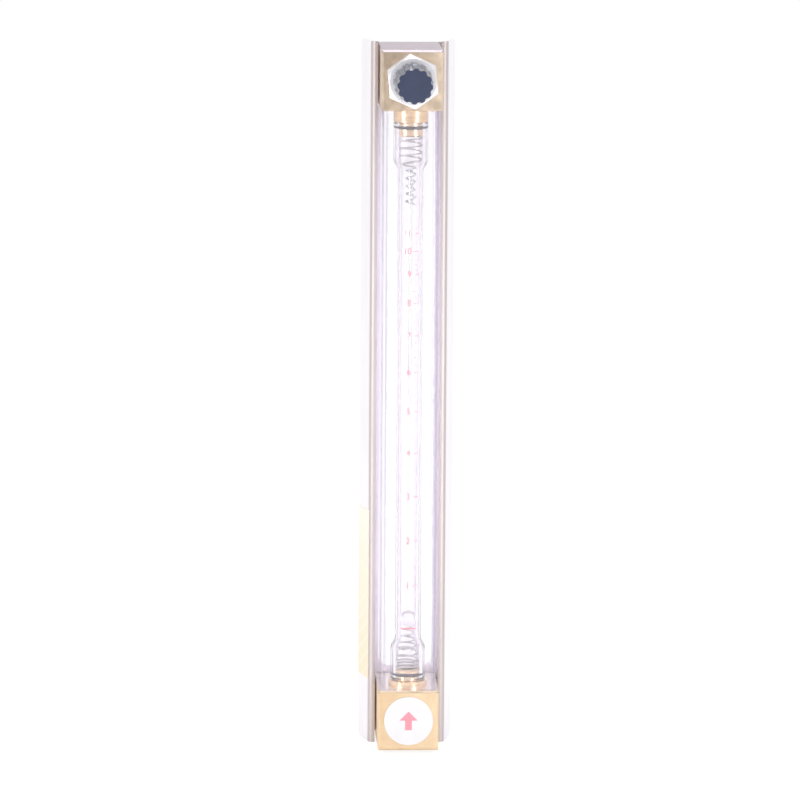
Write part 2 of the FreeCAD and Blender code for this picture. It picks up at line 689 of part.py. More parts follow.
def measuring_line():
    """Tube, ball, inserts, rings and springs, all on the tube's axis."""
    parts = [metering_tube(), float_ball()]
    ends = (
        ("lower", low_face, 1, low_collar_radius, low_collar_height, low_spigot_length),
        ("upper", high_face, -1, top_collar_radius, top_collar_height, top_spigot_length))
    for word, face, way, radius, height, spigot in ends:
        parts.append(tube_insert(word + "_tube_insert", face, way, radius, height, spigot))
        shank_ring = shank_radius + fit_clearance - shank_ring_wire
        parts.append(seal_ring(word + "_insert_o_ring", shank_ring_wire, shank_ring,
                               tube_axis, face - shank_ring_place * way))
        tube_ring = tube_socket_radius - tube_ring_wire
        parts.append(seal_ring(word + "_tube_o_ring", tube_ring_wire, tube_ring,
                               tube_axis, face + (height + tube_ring_place) * way))
    low_seat = low_face + low_collar_height + low_spigot_length + wire_radius
    cone = low_tip_centre() - low_seat - low_seat_height
    parts.append(stop_spring("lower_stop_spring", low_seat, 1, [
        (low_coil_radius, low_coil_radius, low_seat_height, 3),
        (low_coil_radius, low_tip_radius, cone, 5)]))
    high_seat = high_face - top_collar_height - top_spigot_length - wire_radius
    parts.append(stop_spring("upper_stop_spring", high_seat, -1, [
        (top_coil_radius, top_coil_radius, top_seat_height, 3),
        (top_coil_radius, top_tip_radius, top_cone_height, 1),
        (top_tip_radius, top_tip_radius, top_tip_height, 5)]))
    return parts


def low_tip_centre():
    """Height of the wire's centre in the last coil, where the ball's surface meets the wire."""
    reach = float_radius + wire_radius
    drop = Size((reach.value ** 2 - low_tip_radius.value ** 2) ** 0.5,
                f"sqrt({reach.formula}^2 - {low_tip_radius.formula}^2)")
    return float_rest - drop - 0.02


# ---------------------------------------------------------------------------------------------
# Needle valve in the top block, on the axis of the outlet port
# ---------------------------------------------------------------------------------------------
def valve_bonnet():
    """Hexagon and round nose in front of the block, screwed barrel and gland bore inside it."""
    body = new_body("valve_bonnet", y=front_face, z=port_centres)
    hexagon = new_sketch(body, "XZ_Plane")
    draw_hexagon(hexagon, bonnet_flats, bonnet_turn)
    feature(body, "Pad", hexagon, Length=bonnet_height)
    before = body.Shape.Volume
    corner = bonnet_flats * 0.6
    rim = bonnet_flats * 0.485
    rise = (corner - rim) * 0.577
    turn_profile(body, "Groove", "XY_Plane", [
        (rim, -bonnet_height), (corner, -bonnet_height), (corner, -bonnet_height + rise)])
    cut_checked(body, before, "corner rounding")
    ring_groove = bonnet_barrel_radius + fit_clearance - shank_ring_wire * 2
    ring_front = bonnet_ring_place() - shank_ring_wire
    ring_rear = bonnet_ring_place() + shank_ring_wire
    turn_profile(body, "Revolution", "XY_Plane", [
        (0, -bonnet_height - bonnet_nose_length),
        (bonnet_nose_radius, -bonnet_height - bonnet_nose_length),
        (bonnet_nose_radius, -bonnet_height / 2), (bonnet_barrel_radius, -bonnet_height / 2),
        (bonnet_barrel_radius, ring_front), (ring_groove, ring_front),
        (ring_groove, ring_rear), (bonnet_barrel_radius, ring_rear),
        (bonnet_barrel_radius, bonnet_barrel_length), (0, bonnet_barrel_length)])
    before = body.Shape.Volume
    gland_front = bonnet_barrel_length - gland_depth
    thread = spindle_radius + fit_clearance
    turn_profile(body, "Groove", "XY_Plane", [
        (0, -bonnet_height - bonnet_nose_length), (thread, -bonnet_height - bonnet_nose_length),
        (thread, gland_front), (gland_radius, gland_front),
        (gland_radius, bonnet_barrel_length), (0, bonnet_barrel_length)])
    cut_checked(body, before, "gland bore")
    return body


def bonnet_ring_place():
    """Centre of the bonnet's ring behind the block's front face."""
    return shank_ring_wire * 3


def spindle_ring_place():
    """Centre of the spindle's ring behind the front face, clear of the gland's ends when shut."""
    return bonnet_barrel_length - valve_opening - spindle_ring_wire() - gland_spare


def spindle_ring_wire():
    """Section radius of the spindle's ring, from the gland bore down to its groove."""
    return (gland_radius - fit_clearance - spindle_radius * 0.7) / 2


def valve_spindle():
    """Screwed spindle with a ring groove, a plain foot and a tapered needle."""
    body = new_body("valve_spindle", y=front_face, z=port_centres)
    ring_wire = spindle_ring_wire()
    groove = gland_radius - fit_clearance - ring_wire * 2
    ring_front = spindle_ring_place() - ring_wire
    ring_rear = spindle_ring_place() + ring_wire
    taper = (needle_foot_radius - needle_tip_radius) / needle_length
    shut_in = seat_sink + (seat_orifice - fit_clearance - needle_tip_radius) / taper
    point = seat_setback + shut_in - valve_opening
    foot = point - needle_length
    outer = -(bonnet_height + knob_gap + knob_length * 0.75)
    turn_profile(body, "Revolution", "XY_Plane", [
        (0, outer), (spindle_radius, outer), (spindle_radius, ring_front),
        (groove, ring_front), (groove, ring_rear), (spindle_radius, ring_rear),
        (spindle_radius, bonnet_barrel_length + 0.5), (needle_foot_radius, foot),
        (needle_tip_radius, point), (0, point)])
    ring = seal_ring("spindle_o_ring", ring_wire, groove + ring_wire,
                     front_face + spindle_ring_place(), port_centres, True)
    return [body, ring]


def valve_seat():
    """Pressed bush behind the chamber, with a countersunk orifice."""
    body = new_body("valve_seat", y=front_face + seat_setback, z=port_centres)
    turn_profile(body, "Revolution", "XY_Plane", [
        (seat_orifice + seat_sink, 0), (seat_radius, 0), (seat_radius, seat_length),
        (seat_orifice, seat_length), (seat_orifice, seat_sink)])
    return body


def valve_knob():
    """Tapered knob with straight flutes, a recess round the bonnet's nose and a blind bore."""
    body = new_body("valve_knob", y=knob_rear, z=port_centres)
    front, rear = knob_front_radius, knob_rear_radius
    recess_radius = bonnet_nose_radius + 0.6
    recess = valve_opening + bonnet_nose_length
    bore_end = -knob_length * 0.78
    edge = knob_edge
    bore = spindle_radius + 0.02
    turn_profile(body, "Revolution", "XY_Plane", [
        (0, -knob_length), (front - edge, -knob_length), (front, -knob_length + edge),
        (rear, -edge), (rear - edge, 0), (recess_radius, 0), (recess_radius, -recess),
        (bore, -recess), (bore, bore_end), (0, bore_end)])
    before = body.Shape.Volume
    first = math.radians(flute_turn.value)
    across = Size(math.cos(first), f"cos({flute_turn.formula} * 1 deg)")
    upward = Size(math.sin(first), f"sin({flute_turn.formula} * 1 deg)")
    rings = []
    for depth, radius in ((knob_length, front), (knob_length * 0, rear)):
        ring = new_sketch(body, "XZ_Plane", depth)
        reach = radius + flute_radius - flute_depth
        draw_circle(ring, reach * across, reach * upward, flute_radius)
        rings.append(ring)
    flute = body.newObject("PartDesign::SubtractiveLoft", "knob_flute")
    flute.Profile = rings[0]
    flute.Sections = [rings[1]]
    flute.Ruled = True
    doc.recompute()
    copies(body, flute, "Y_Axis", knob_flutes)
    cut_checked(body, before, "flutes")

    before = body.Shape.Volume
    tapped = new_sketch(body, "XY_Plane")
    draw_circle(tapped, 0, set_screw_place(), set_screw_radius)
    feature(body, "Pocket", tapped, Length=rear * 1.2)
    cut_checked(body, before, "set screw hole")
    return body


def set_screw_place():
    """The set screw's axis from the knob's rear face."""
    return -knob_length * 0.36


def knob_set_screw():
    """Headless socket screw under the knob, its point on the spindle."""
    body = new_body("knob_set_screw", y=knob_rear + set_screw_place(), z=port_centres)
    point = spindle_radius + 0.02
    outer = knob_front_radius - flute_depth
    tip = set_screw_radius * 0.4
    drawing = new_sketch(body, "XZ_Plane")
    draw_polygon(drawing, [(0, -outer), (set_screw_radius, -outer),
                           (set_screw_radius, -point - tip), (set_screw_radius - tip, -point),
                           (0, -point)])
    feature(body, "Revolution", drawing, ReferenceAxis=(drawing, ["V_Axis"]), Angle=360.0)
    before = body.Shape.Volume
    key = new_sketch(body, "XY_Plane", -outer)
    draw_hexagon(key, set_screw_radius, bonnet_turn)
    feature(body, "Pocket", key, Length=set_screw_radius, Reversed=True)
    cut_checked(body, before, "key socket")
    return body


# ---------------------------------------------------------------------------------------------
# Fasteners and labels
# ---------------------------------------------------------------------------------------------
def screw_places():
    """Every housing screw's place on the web: two behind each block."""
    for row in (screw_low, screw_high):
        for side in (-1, 1):
            yield screw_place * side, row


def gathered(node, pieces):
    """Several like solids, apart from each other, in one node."""
    group = doc.addObject("Part::Compound", node)
    group.Label = node
    group.Links = pieces
    return group


def cylinder(name, radius, height, x, y, z):
    """A cylinder that runs forwards from y along the port's direction."""
    rod = doc.addObject("Part::Cylinder", name)
    bind(rod, "Radius", radius)
    bind(rod, "Height", height)
    rod.Placement = FreeCAD.Placement(V(0, 0, 0), FreeCAD.Rotation(V(1, 0, 0), 90))
    bind(rod, "Placement.Base.x", x)
    bind(rod, "Placement.Base.y", y)
    bind(rod, "Placement.Base.z", z)
    return rod


def housing_fasteners():
    """Pan-headed screws and their washers on the rear of the web."""
    screws, washers = [], []
    washer_rear = web_face + washer_wall
    head_rear = washer_rear + screw_head_height
    for x, z in screw_places():
        disc = cylinder("washer_disc", washer_radius, washer_wall, x, washer_rear, z)
        hole = cylinder("washer_hole", screw_radius + fit_clearance, washer_wall * 2,
                        x, washer_rear + washer_wall / 2, z)
        washer = doc.addObject("Part::Cut", "washer")
        washer.Base = disc
        washer.Tool = hole
        washers.append(washer)
        head = cylinder("screw_head", screw_head_radius, screw_head_height, x, head_rear, z)
        shank = cylinder("screw_shank", screw_radius - fit_clearance,
                         screw_length + sheet_wall + washer_wall + screw_head_height / 2,
                         x, washer_rear + screw_head_height / 2, z)
        joined = doc.addObject("Part::Fuse", "screw_blank")
        joined.Base = head
        joined.Tool = shank
        slot = doc.addObject("Part::Box", "screw_slot")
        bind(slot, "Length", screw_head_radius * 3)
        bind(slot, "Width", screw_head_height)
        bind(slot, "Height", screw_head_radius * 0.3)
        bind(slot, "Placement.Base.x", x - screw_head_radius * 1.5)
        bind(slot, "Placement.Base.y", washer_rear + screw_head_height * 0.45)
        bind(slot, "Placement.Base.z", z - screw_head_radius * 0.15)
        screw = doc.addObject("Part::Cut", "screw")
        screw.Base = joined
        screw.Tool = slot
        screws.append(screw)
    doc.recompute()
    return [gathered("housing_screws", screws), gathered("housing_washers", washers)]


def round_label():
    """A flat disc on the front of the bottom block."""
    disc = cylinder("round_label", disc_radius, disc_wall, port_centres * 0, front_face,
                    port_centres * 0)
    disc.Label = "round_label"
    return disc


def side_label():
    """A thin strip on the outside of the left wall, leaning with it."""
    run = web_face - lip_front
    angle = Size(math.degrees(math.atan(wall_splay.value / run.value)),
                 f"atan({wall_splay.formula} / {run.formula})")
    across = Size((wall_splay.value ** 2 + run.value ** 2) ** 0.5,
                  f"sqrt({wall_splay.formula}^2 + {run.formula}^2)")
    start = (across - strip_width) * 0.42
    strip = doc.addObject("Part::Box", "side_label")
    strip.Label = "side_label"
    bind(strip, "Length", strip_wall)
    bind(strip, "Width", strip_width)
    bind(strip, "Height", strip_length)
    strip.Placement = FreeCAD.Placement(V(0, 0, 0), FreeCAD.Rotation(V(0, 0, 1), angle.value))
    bind(strip, "Placement.Rotation.Angle", angle)
    bind(strip, "Placement.Base.x",
         -lip_corner - wall_splay * (start / across) - strip_wall * (run / across))
    bind(strip, "Placement.Base.y",
         lip_front + run * (start / across) - strip_wall * (wall_splay / across))
    bind(strip, "Placement.Base.z", strip_low)
    return strip


# ---------------------------------------------------------------------------------------------
# Build, check, export
# ---------------------------------------------------------------------------------------------
def build():
    """Every sub-part of the rotameter, in the order in which it is put together."""
    parts = [housing_channel(), bottom_block(), top_block(), front_shield(), rear_shield()]
    parts += measuring_line()
    parts.append(valve_bonnet())
    parts.append(seal_ring("bonnet_o_ring", shank_ring_wire,
                           bonnet_barrel_radius + fit_clearance - shank_ring_wire,
                            front_face + bonnet_ring_place(), port_centres, True))
    parts += valve_spindle()
    parts += [valve_seat(), valve_knob(), knob_set_screw()]
    parts += housing_fasteners()
    parts += [round_label(), side_label()]
    doc.recompute()
    return parts


def check(parts):
    """Stops before anything is written if an object failed or a shape is not sound."""
    for item in doc.Objects:
        if "Invalid" in item.State or "Error" in item.State:
            raise RuntimeError(f"{item.Label} failed: {item.State}")
    for part in parts:
        if part.Shape.isNull() or not part.Shape.isValid():
            raise RuntimeError(f"{part.Label} has no sound shape")


def export(parts):
    """One STEP file for each sub-part, named after its label."""
    os.makedirs("parts", exist_ok=True)
    for part in parts:
        part.Shape.exportStep(f"parts/{part.Label}.step")
        solids = len(part.Shape.Solids)
        print(f"{part.Label:22s} {solids} solid(s) {part.Shape.Volume:10.1f} mm3")


everything = build()
check(everything)
export(everything)
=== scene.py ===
"""Looks of the purge rotameter: glass, clear shields, brass ends, folded steel and printed scale.

Laid out as a Blender add-on. Metres; +Z runs up the tube, -Y is the front with the knob, and the
origin is the mouth of the inlet port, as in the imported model.
"""
import math

import bmesh
import bpy
import numpy as np
from bpy.props import FloatProperty, FloatVectorProperty, IntProperty, PointerProperty
from mathutils import Matrix, Vector


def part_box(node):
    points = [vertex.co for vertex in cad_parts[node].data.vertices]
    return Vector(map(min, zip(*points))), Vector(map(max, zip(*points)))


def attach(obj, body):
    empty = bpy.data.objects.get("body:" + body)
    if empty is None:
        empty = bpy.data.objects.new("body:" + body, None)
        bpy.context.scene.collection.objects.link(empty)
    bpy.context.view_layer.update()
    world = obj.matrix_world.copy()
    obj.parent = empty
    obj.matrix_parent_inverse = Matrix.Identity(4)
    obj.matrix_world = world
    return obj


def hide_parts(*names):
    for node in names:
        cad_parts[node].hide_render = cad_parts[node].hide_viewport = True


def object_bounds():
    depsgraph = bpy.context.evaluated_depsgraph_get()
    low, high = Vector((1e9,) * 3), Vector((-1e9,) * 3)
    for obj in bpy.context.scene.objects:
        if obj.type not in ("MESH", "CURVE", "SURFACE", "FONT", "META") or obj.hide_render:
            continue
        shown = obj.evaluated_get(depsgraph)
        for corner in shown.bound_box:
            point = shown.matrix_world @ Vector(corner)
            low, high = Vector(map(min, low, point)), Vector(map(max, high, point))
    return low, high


bl_info = {
    "name": "Purge rotameter",
    "version": (1, 0, 0),
    "blender": (4, 5, 0),
    "location": "3D View > Sidebar > Rotameter",
    "description": "Builds the looks of a slim glass-tube flow meter round its packed model",
    "category": "Object",
}

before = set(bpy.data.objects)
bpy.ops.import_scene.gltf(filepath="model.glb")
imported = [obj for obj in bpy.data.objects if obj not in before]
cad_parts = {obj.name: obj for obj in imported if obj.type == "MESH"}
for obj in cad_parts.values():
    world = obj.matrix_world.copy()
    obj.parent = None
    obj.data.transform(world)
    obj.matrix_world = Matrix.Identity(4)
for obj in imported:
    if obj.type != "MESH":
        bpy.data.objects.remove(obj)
CAD_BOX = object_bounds()
MM = 0.001
TUBE_LOW, TUBE_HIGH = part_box("metering_tube")
AXIS_Y = (TUBE_LOW.y + TUBE_HIGH.y) / 2
BLOCK_LOW, BLOCK_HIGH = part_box("bottom_block")
LIP_FRONT, WEB_REAR = (corner.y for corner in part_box("housing_channel"))
INK_SINK, INK_RISE = 0.005 * MM, 0.02 * MM


# ---------------------------------------------------------------------------------------------
# Shader expressions
# ---------------------------------------------------------------------------------------------
class Field:
    """A shader value; arithmetic on it adds the Math nodes that work it out."""

    def __init__(self, finish, socket):
        self.finish = finish
        self.socket = socket

    def combine(self, operation, first, second=0.0):
        math_node = self.finish.node("ShaderNodeMath", {"operation": operation}, [first, second])
        return math_node.field("Value")

    def __add__(self, other):
        return self.combine("ADD", self, other)

    __radd__ = __add__

    def __sub__(self, other):
        return self.combine("SUBTRACT", self, other)

    def __rsub__(self, other):
        return self.combine("SUBTRACT", other, self)

    def __mul__(self, other):
        return self.combine("MULTIPLY", self, other)

    __rmul__ = __mul__

    def __pow__(self, other):
        return self.combine("POWER", self, other)

    def wave(self):
        return self.combine("SINE", self)

    def largest(self, other):
        return self.combine("MAXIMUM", self, other)


class Placed:
    """A node in a finish, whose outputs are read by name as fields."""

    def __init__(self, finish, node):
        self.finish = finish
        self.node = node

    def field(self, name):
        return Field(self.finish, self.node.outputs[name])


class Finish:
    """A procedural material that grows node by node."""

    def __init__(self, name, tree=None):
        if tree is None:
            self.material = bpy.data.materials.new(name)
            self.material.use_nodes = True
            tree = self.material.node_tree
        self.tree = tree
        self.tree.nodes.clear()

    def node(self, kind, settings=None, values=None):
        """One node: its settings first, then a value or a link for each socket it names."""
        made = self.tree.nodes.new(kind)
        for key, value in (settings or {}).items():
            setattr(made, key, value)
        items = values or {}
        pairs = items.items() if isinstance(items, dict) else enumerate(items)
        for key, value in pairs:
            if isinstance(value, Field):
                self.tree.links.new(value.socket, made.inputs[key])
            else:
                made.inputs[key].default_value = value
        return Placed(self, made)

    def place(self, stretch=(1.0, 1.0, 1.0), turn=(0.0, 0.0, 0.0)):
        """Object coordinates in metres, stretched and turned."""
        where = self.node("ShaderNodeTexCoord").field("Object")
        moved = self.node("ShaderNodeMapping", {}, {
            "Vector": where, "Scale": stretch, "Rotation": turn})
        return moved.field("Vector")

    def along(self, axis):
        """The object coordinate along one axis, in metres."""
        where = self.node("ShaderNodeTexCoord").field("Object")
        return self.node("ShaderNodeSeparateXYZ", {}, [where]).field(axis)

    def seen(self):
        """1 for rays of the camera, straight or through glass, and 0 for all others."""
        path = self.node("ShaderNodeLightPath")
        return path.field("Is Camera Ray").largest(path.field("Is Transmission Ray"))

    def noise(self, scale, stretch=(1.0, 1.0, 1.0), detail=4.0, turn=(0.0, 0.0, 0.0)):
        """Cloudy noise from 0 to 1 with so many lumps to the metre."""
        made = self.node("ShaderNodeTexNoise", {}, {
            "Vector": self.place(stretch, turn), "Scale": scale, "Detail": detail})
        return made.field("Fac")

    def spread(self, value, low, high):
        """Stretches the stretch from low to high of a value to 0 and 1, and holds it there."""
        made = self.node("ShaderNodeMapRange", {"clamp": True}, {
            "Value": value, "From Min": low, "From Max": high})
        return made.field("Result")

    def blend(self, factor, first, second):
        """A colour part of the way from the first to the second."""
        made = self.node("ShaderNodeMix", {"data_type": "RGBA"}, {
            "Factor": factor, 6: rgba(first), 7: rgba(second)})
        return Field(self, made.node.outputs[2])

    def bump(self, height, distance):
        """A normal that rises and falls with a height from 0 to 1."""
        made = self.node("ShaderNodeBump", {}, {
            "Height": height, "Distance": distance, "Strength": 1.0})
        return made.field("Normal")

    def surface(self, values):
        """A Principled surface with these sockets."""
        return self.node("ShaderNodeBsdfPrincipled", {}, values).field("BSDF")

    def mix(self, factor, first, second):
        """Two surfaces mixed by a factor."""
        made = self.node("ShaderNodeMixShader", {}, {0: factor, 1: first, 2: second})
        return made.field("Shader")

    def done(self, surface):
        """Puts the surface on the material's output."""
        self.node("ShaderNodeOutputMaterial", {}, {"Surface": surface})
        return self.material


def rgba(colour):
    """A colour with its fourth value, or the link that brings one."""
    if isinstance(colour, Field):
        return colour
    return (*colour, 1.0) if len(colour) == 3 else tuple(colour)


# ---------------------------------------------------------------------------------------------
# Finishes
# ---------------------------------------------------------------------------------------------
def milled_brass(name, node, dark, light, bevel, top, turn=0.6):
    """Milled brass: cloudy tarnish and slanting tool marks, painted shade darkening it towards -X,
    and a top face and chamfer in colours of painted reflection and painted shade.
    """
    f = Finish(name)
    cloud = f.spread(f.noise(230.0, detail=5.0), 0.32, 0.68)
    # across: painted light and shade, the brass darker towards -X and lighter towards +X.
    across = f.spread(f.along("X"), BLOCK_LOW.x, BLOCK_HIGH.x)
    crown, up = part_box(node)[1].z, f.along("Z")
    # Top face and chamfer: their colours are painted reflection, and painted shade on the lower
    # block's chamfer.
    painted_chamfer_mask = f.spread(up, crown - 0.76 * MM, crown - 0.70 * MM)
    top_reflection_mask = f.spread(up, crown - 0.06 * MM, crown - 0.02 * MM)
    marks = f.noise(1500.0, (1.0, 1.0, 0.12), 3.0, (0.0, turn, 0.0))
    specks = f.spread(f.noise(2600.0, detail=2.0), 0.66, 0.74)
    tone = f.blend(cloud * 0.4 + marks * 0.2 + across * 0.4, dark, light)
    tone = f.blend(painted_chamfer_mask * (0.85 + cloud * 0.15), tone, f.blend(top_reflection_mask, bevel, top))
    colour = f.blend(specks * 0.35, tone, tuple(c * 0.55 for c in dark))
    return f.done(f.surface({
        "Base Color": colour, "Metallic": 1.0,
        "Roughness": 0.30 + cloud * 0.10 + marks * 0.12,
        "Normal": f.bump(marks + cloud * 0.4, 0.03 * MM)}))


def turned_metal(name, dark, light, base_roughness):
    """Lathe-turned metal: rings of fine tool marks round an upright axis, slightly uneven."""
    f = Finish(name)
    rings = f.noise(2400.0, (0.05, 0.05, 1.0), 3.0)
    cloud = f.noise(300.0, detail=3.0)
    colour = f.blend(f.spread(rings * 0.5 + cloud * 0.5, 0.3, 0.7), dark, light)
    return f.done(f.surface({
        "Base Color": colour, "Metallic": 1.0, "Roughness": base_roughness + rings * 0.12,
        "Normal": f.bump(rings, 0.012 * MM)}))


def brushed_sheet(name, dark, light, wear_and_lip_reflection):
    """Folded stainless sheet with a fine vertical brush and faint clouds; its front lips are
    browner with painted reflection and painted shade.
    """
    f = Finish(name)
    brush = f.noise(3000.0, (1.0, 1.0, 0.015), 4.0)
    cloud = f.noise(90.0, (1.0, 1.0, 0.5), 4.0)
    scuffs = f.spread(f.noise(420.0, (1.0, 1.0, 0.4), 6.0), 0.60, 0.75)
    depth = f.along("Y")
    lips = f.spread(depth, LIP_FRONT + 2.6 * MM, LIP_FRONT + 1.6 * MM)
    web = f.spread(depth, WEB_REAR - 2.0 * MM, WEB_REAR - 1.0 * MM)
    colour = f.blend(f.spread(brush * 0.6 + cloud * 0.4, 0.3, 0.7), dark, light)
    # Painted reflection and shade: the front lips are blended towards a brown grey.
    colour = f.blend(lips * 0.75, colour, wear_and_lip_reflection)
    return f.done(f.surface({
        "Base Color": colour, "Metallic": 0.9 - web * 0.5,
        "Roughness": 0.24 + brush * 0.14 + scuffs * 0.12 + lips * 0.2,
        "Normal": f.bump(brush, 0.006 * MM)}))


def polished_metal(name, dark, light, roughness):
    """Plated metal, smooth with light handling marks."""
    f = Finish(name)
    cloud = f.noise(420.0, detail=5.0)
    hairs = f.spread(f.noise(2200.0, (1.0, 0.08, 1.0), 2.0), 0.62, 0.70)
    colour = f.blend(f.spread(cloud, 0.35, 0.65), dark, light)
    return f.done(f.surface({
        "Base Color": colour, "Metallic": 1.0, "Roughness": roughness + cloud * 0.08 + hairs * 0.1,
        "Normal": f.bump(cloud + hairs, 0.008 * MM)}))


def clear_body(name, colour, ior, ripple, shade):
    """A clear solid that bends light; lamps shine through it, a little dimmed."""
    f = Finish(name)
    waves = f.noise(60.0, (1.0, 1.0, 0.3), 2.0)
    haze = f.spread(f.noise(700.0, (1.0, 1.0, 0.3), 5.0), 0.55, 0.8)
    body = f.surface({
        "Base Color": rgba(colour), "Transmission Weight": 1.0, "IOR": ior,
        "Roughness": haze * 0.02, "Normal": f.bump(waves, ripple)})
    see_through = f.node("ShaderNodeBsdfTransparent", {}, {"Color": rgba(shade)}).field("BSDF")
    shadow = f.node("ShaderNodeLightPath").field("Is Shadow Ray")
    return f.done(f.mix(shadow, body, see_through))


def clear_pane(name, facing, slanting, gloss):
    """A thin clear wall: tinted more where it is seen at a slant, with a mirror of its own.

    Rays go straight through. Those that leave the wall count as refracted, with an index of 1,
    so that a view through many walls doesn't run out of transparent bounces.
    """
    f = Finish(name)
    haze = f.spread(f.noise(500.0, (1.0, 1.0, 0.4), 5.0), 0.5, 0.8)
    lit = 1.0 - f.node("ShaderNodeLightPath").field("Is Shadow Ray")
    slant = f.node("ShaderNodeLayerWeight", {}, {"Blend": 0.35}).field("Facing") ** 2.0
    inwards, outwards = (
        f.mix(slant, *(f.node(kind, {}, {"Color": rgba(colour), **more}).field("BSDF")
                       for colour in (facing, slanting)))
        for kind, more in (("ShaderNodeBsdfTransparent", {}),
                           ("ShaderNodeBsdfRefraction", {"Roughness": 0.0, "IOR": 1.0})))
    leaving = f.node("ShaderNodeNewGeometry").field("Backfacing")
    see_through = f.mix(leaving * lit, inwards, outwards)
    mirror = f.surface({"Base Color": rgba((0.93, 0.92, 0.95)), "Metallic": 1.0,
                        "Roughness": 0.02 + haze * 0.04})
    share = f.node("ShaderNodeFresnel", {}, {"IOR": gloss}).field("Fac")
    milk = f.surface({"Base Color": rgba((0.93, 0.91, 0.96)), "Roughness": 0.6 + haze * 0.2})
    hazy = f.mix((0.05 + haze * 0.02) * lit, see_through, milk)
    return f.done(f.mix(share * lit * (1.0 - leaving), hazy, mirror))


def moulded(name, colour, roughness, grain):
    """Moulded rubber or plastic with a fine even grain and faint clouds in its gloss."""
    f = Finish(name)
    fine = f.noise(5200.0, detail=2.0)
    cloud = f.noise(260.0, detail=4.0)
    paler = tuple(min(1.0, c * 1.35 + 0.01) for c in colour)
    return f.done(f.surface({
        "Base Color": f.blend(cloud, colour, paler), "Roughness": roughness + cloud * 0.12,
        "Normal": f.bump(fine, grain)}))


def printed_ink(name, colour):
    """Fired ceramic print: thin, slightly uneven ink."""
    f = Finish(name)
    patchy = f.noise(3500.0, detail=3.0)
    paler = tuple(min(1.0, c * 1.25 + 0.04) for c in colour)
    return f.done(f.surface({
        "Base Color": f.blend(f.spread(patchy, 0.35, 0.75), colour, paler),
        "Roughness": 0.42 + patchy * 0.15, "Normal": f.bump(patchy, 0.004 * MM)}))


def label_film(name, colour):
    """White label film with a soft coat and faint marks of handling."""
    f = Finish(name)
    cloud = f.noise(160.0, detail=4.0)
    fibre = f.noise(4200.0, detail=2.0)
    duller = tuple(c * 0.965 for c in colour)
    return f.done(f.surface({
        "Base Color": f.blend(f.spread(cloud, 0.4, 0.7), colour, duller),
        "Roughness": 0.34 + cloud * 0.1, "Coat Weight": 0.25,
        "Normal": f.bump(fibre, 0.003 * MM)}))


def striped_film(name, pale, yellow, low, high):
    """Yellow label film, paler towards its head, with slanting pale stripes."""
    f = Finish(name)
    up = f.spread(f.along("Z"), low, high)
    slant = (f.along("Z") * 1100.0 + f.along("Y") * 620.0).wave()
    stripe = f.spread(slant, 0.55, 0.75) * (1.0 - f.spread(up, 0.45, 0.6))
    ground = f.blend(up, yellow, pale)
    wear_and_lip_reflection = f.noise(500.0, detail=4.0)
    return f.done(f.surface({
        "Base Color": f.blend(stripe * 0.45, ground, pale), "Roughness": 0.36 + wear_and_lip_reflection * 0.14,
        "Coat Weight": 0.2, "Normal": f.bump(wear_and_lip_reflection, 0.004 * MM)}))


# ---------------------------------------------------------------------------------------------
# Surfaces
# ---------------------------------------------------------------------------------------------
def new_piece(name, points, faces, finish, body, stands_for=(), crease=35.0):
    """A closed mesh piece that rides on a body; edges sharper than the crease stay crisp."""
    mesh = bpy.data.meshes.new(name)
    mesh.from_pydata(np.asarray(points).tolist(), [], [tuple(face) for face in faces])
    mesh.validate()
    mesh.polygons.foreach_set("use_smooth", np.ones(len(mesh.polygons), bool))
    mesh.set_sharp_from_angle(angle=math.radians(crease))
    mesh.materials.append(finish)
    piece = bpy.data.objects.new(name, mesh)
    bpy.context.scene.collection.objects.link(piece)
    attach(piece, body)
    if stands_for:
        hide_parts(*stands_for)
    return piece


def grid_faces(rows, columns, close_rows, close_columns):
    """Quads of a rows by columns grid of points, joined to itself where it closes."""
    r = np.arange(rows if close_rows else rows - 1)
    c = np.arange(columns if close_columns else columns - 1)
    i, j = (a.ravel() for a in np.meshgrid(r, c, indexing="ij"))
    below, beside = (i + 1) % rows, (j + 1) % columns
    return np.stack([i * columns + j, below * columns + j,
                     below * columns + beside, i * columns + beside], 1)


def tube_along(path, radius, sides):
    """A round wire: at each point of the path a circle stands square to the path.

    The circle's first direction is the path's sideways direction away from the tube's axis, made
    square to the path; the second is the cross product of the two. Both ends are capped.
    """
    ahead = np.gradient(path, axis=0)
    ahead /= np.linalg.norm(ahead, axis=1, keepdims=True)
    outward = path - np.array([0.0, AXIS_Y, 0.0])
    outward[:, 2] = 0.0
    outward -= (outward * ahead).sum(1, keepdims=True) * ahead
    outward /= np.linalg.norm(outward, axis=1, keepdims=True)
    across = np.cross(ahead, outward)
    turn = np.linspace(0, 2 * math.pi, sides, endpoint=False)
    ring = (np.cos(turn)[None, :, None] * outward[:, None, :]
            + np.sin(turn)[None, :, None] * across[:, None, :])
    points = (path[:, None, :] + radius * ring).reshape(-1, 3)
    faces = [tuple(face[::-1]) for face in grid_faces(len(path), sides, False, True)]
    faces.append(tuple(reversed(range(sides))))
    last = (len(path) - 1) * sides
    faces.append(tuple(last + k for k in range(sides)))
    return points, faces


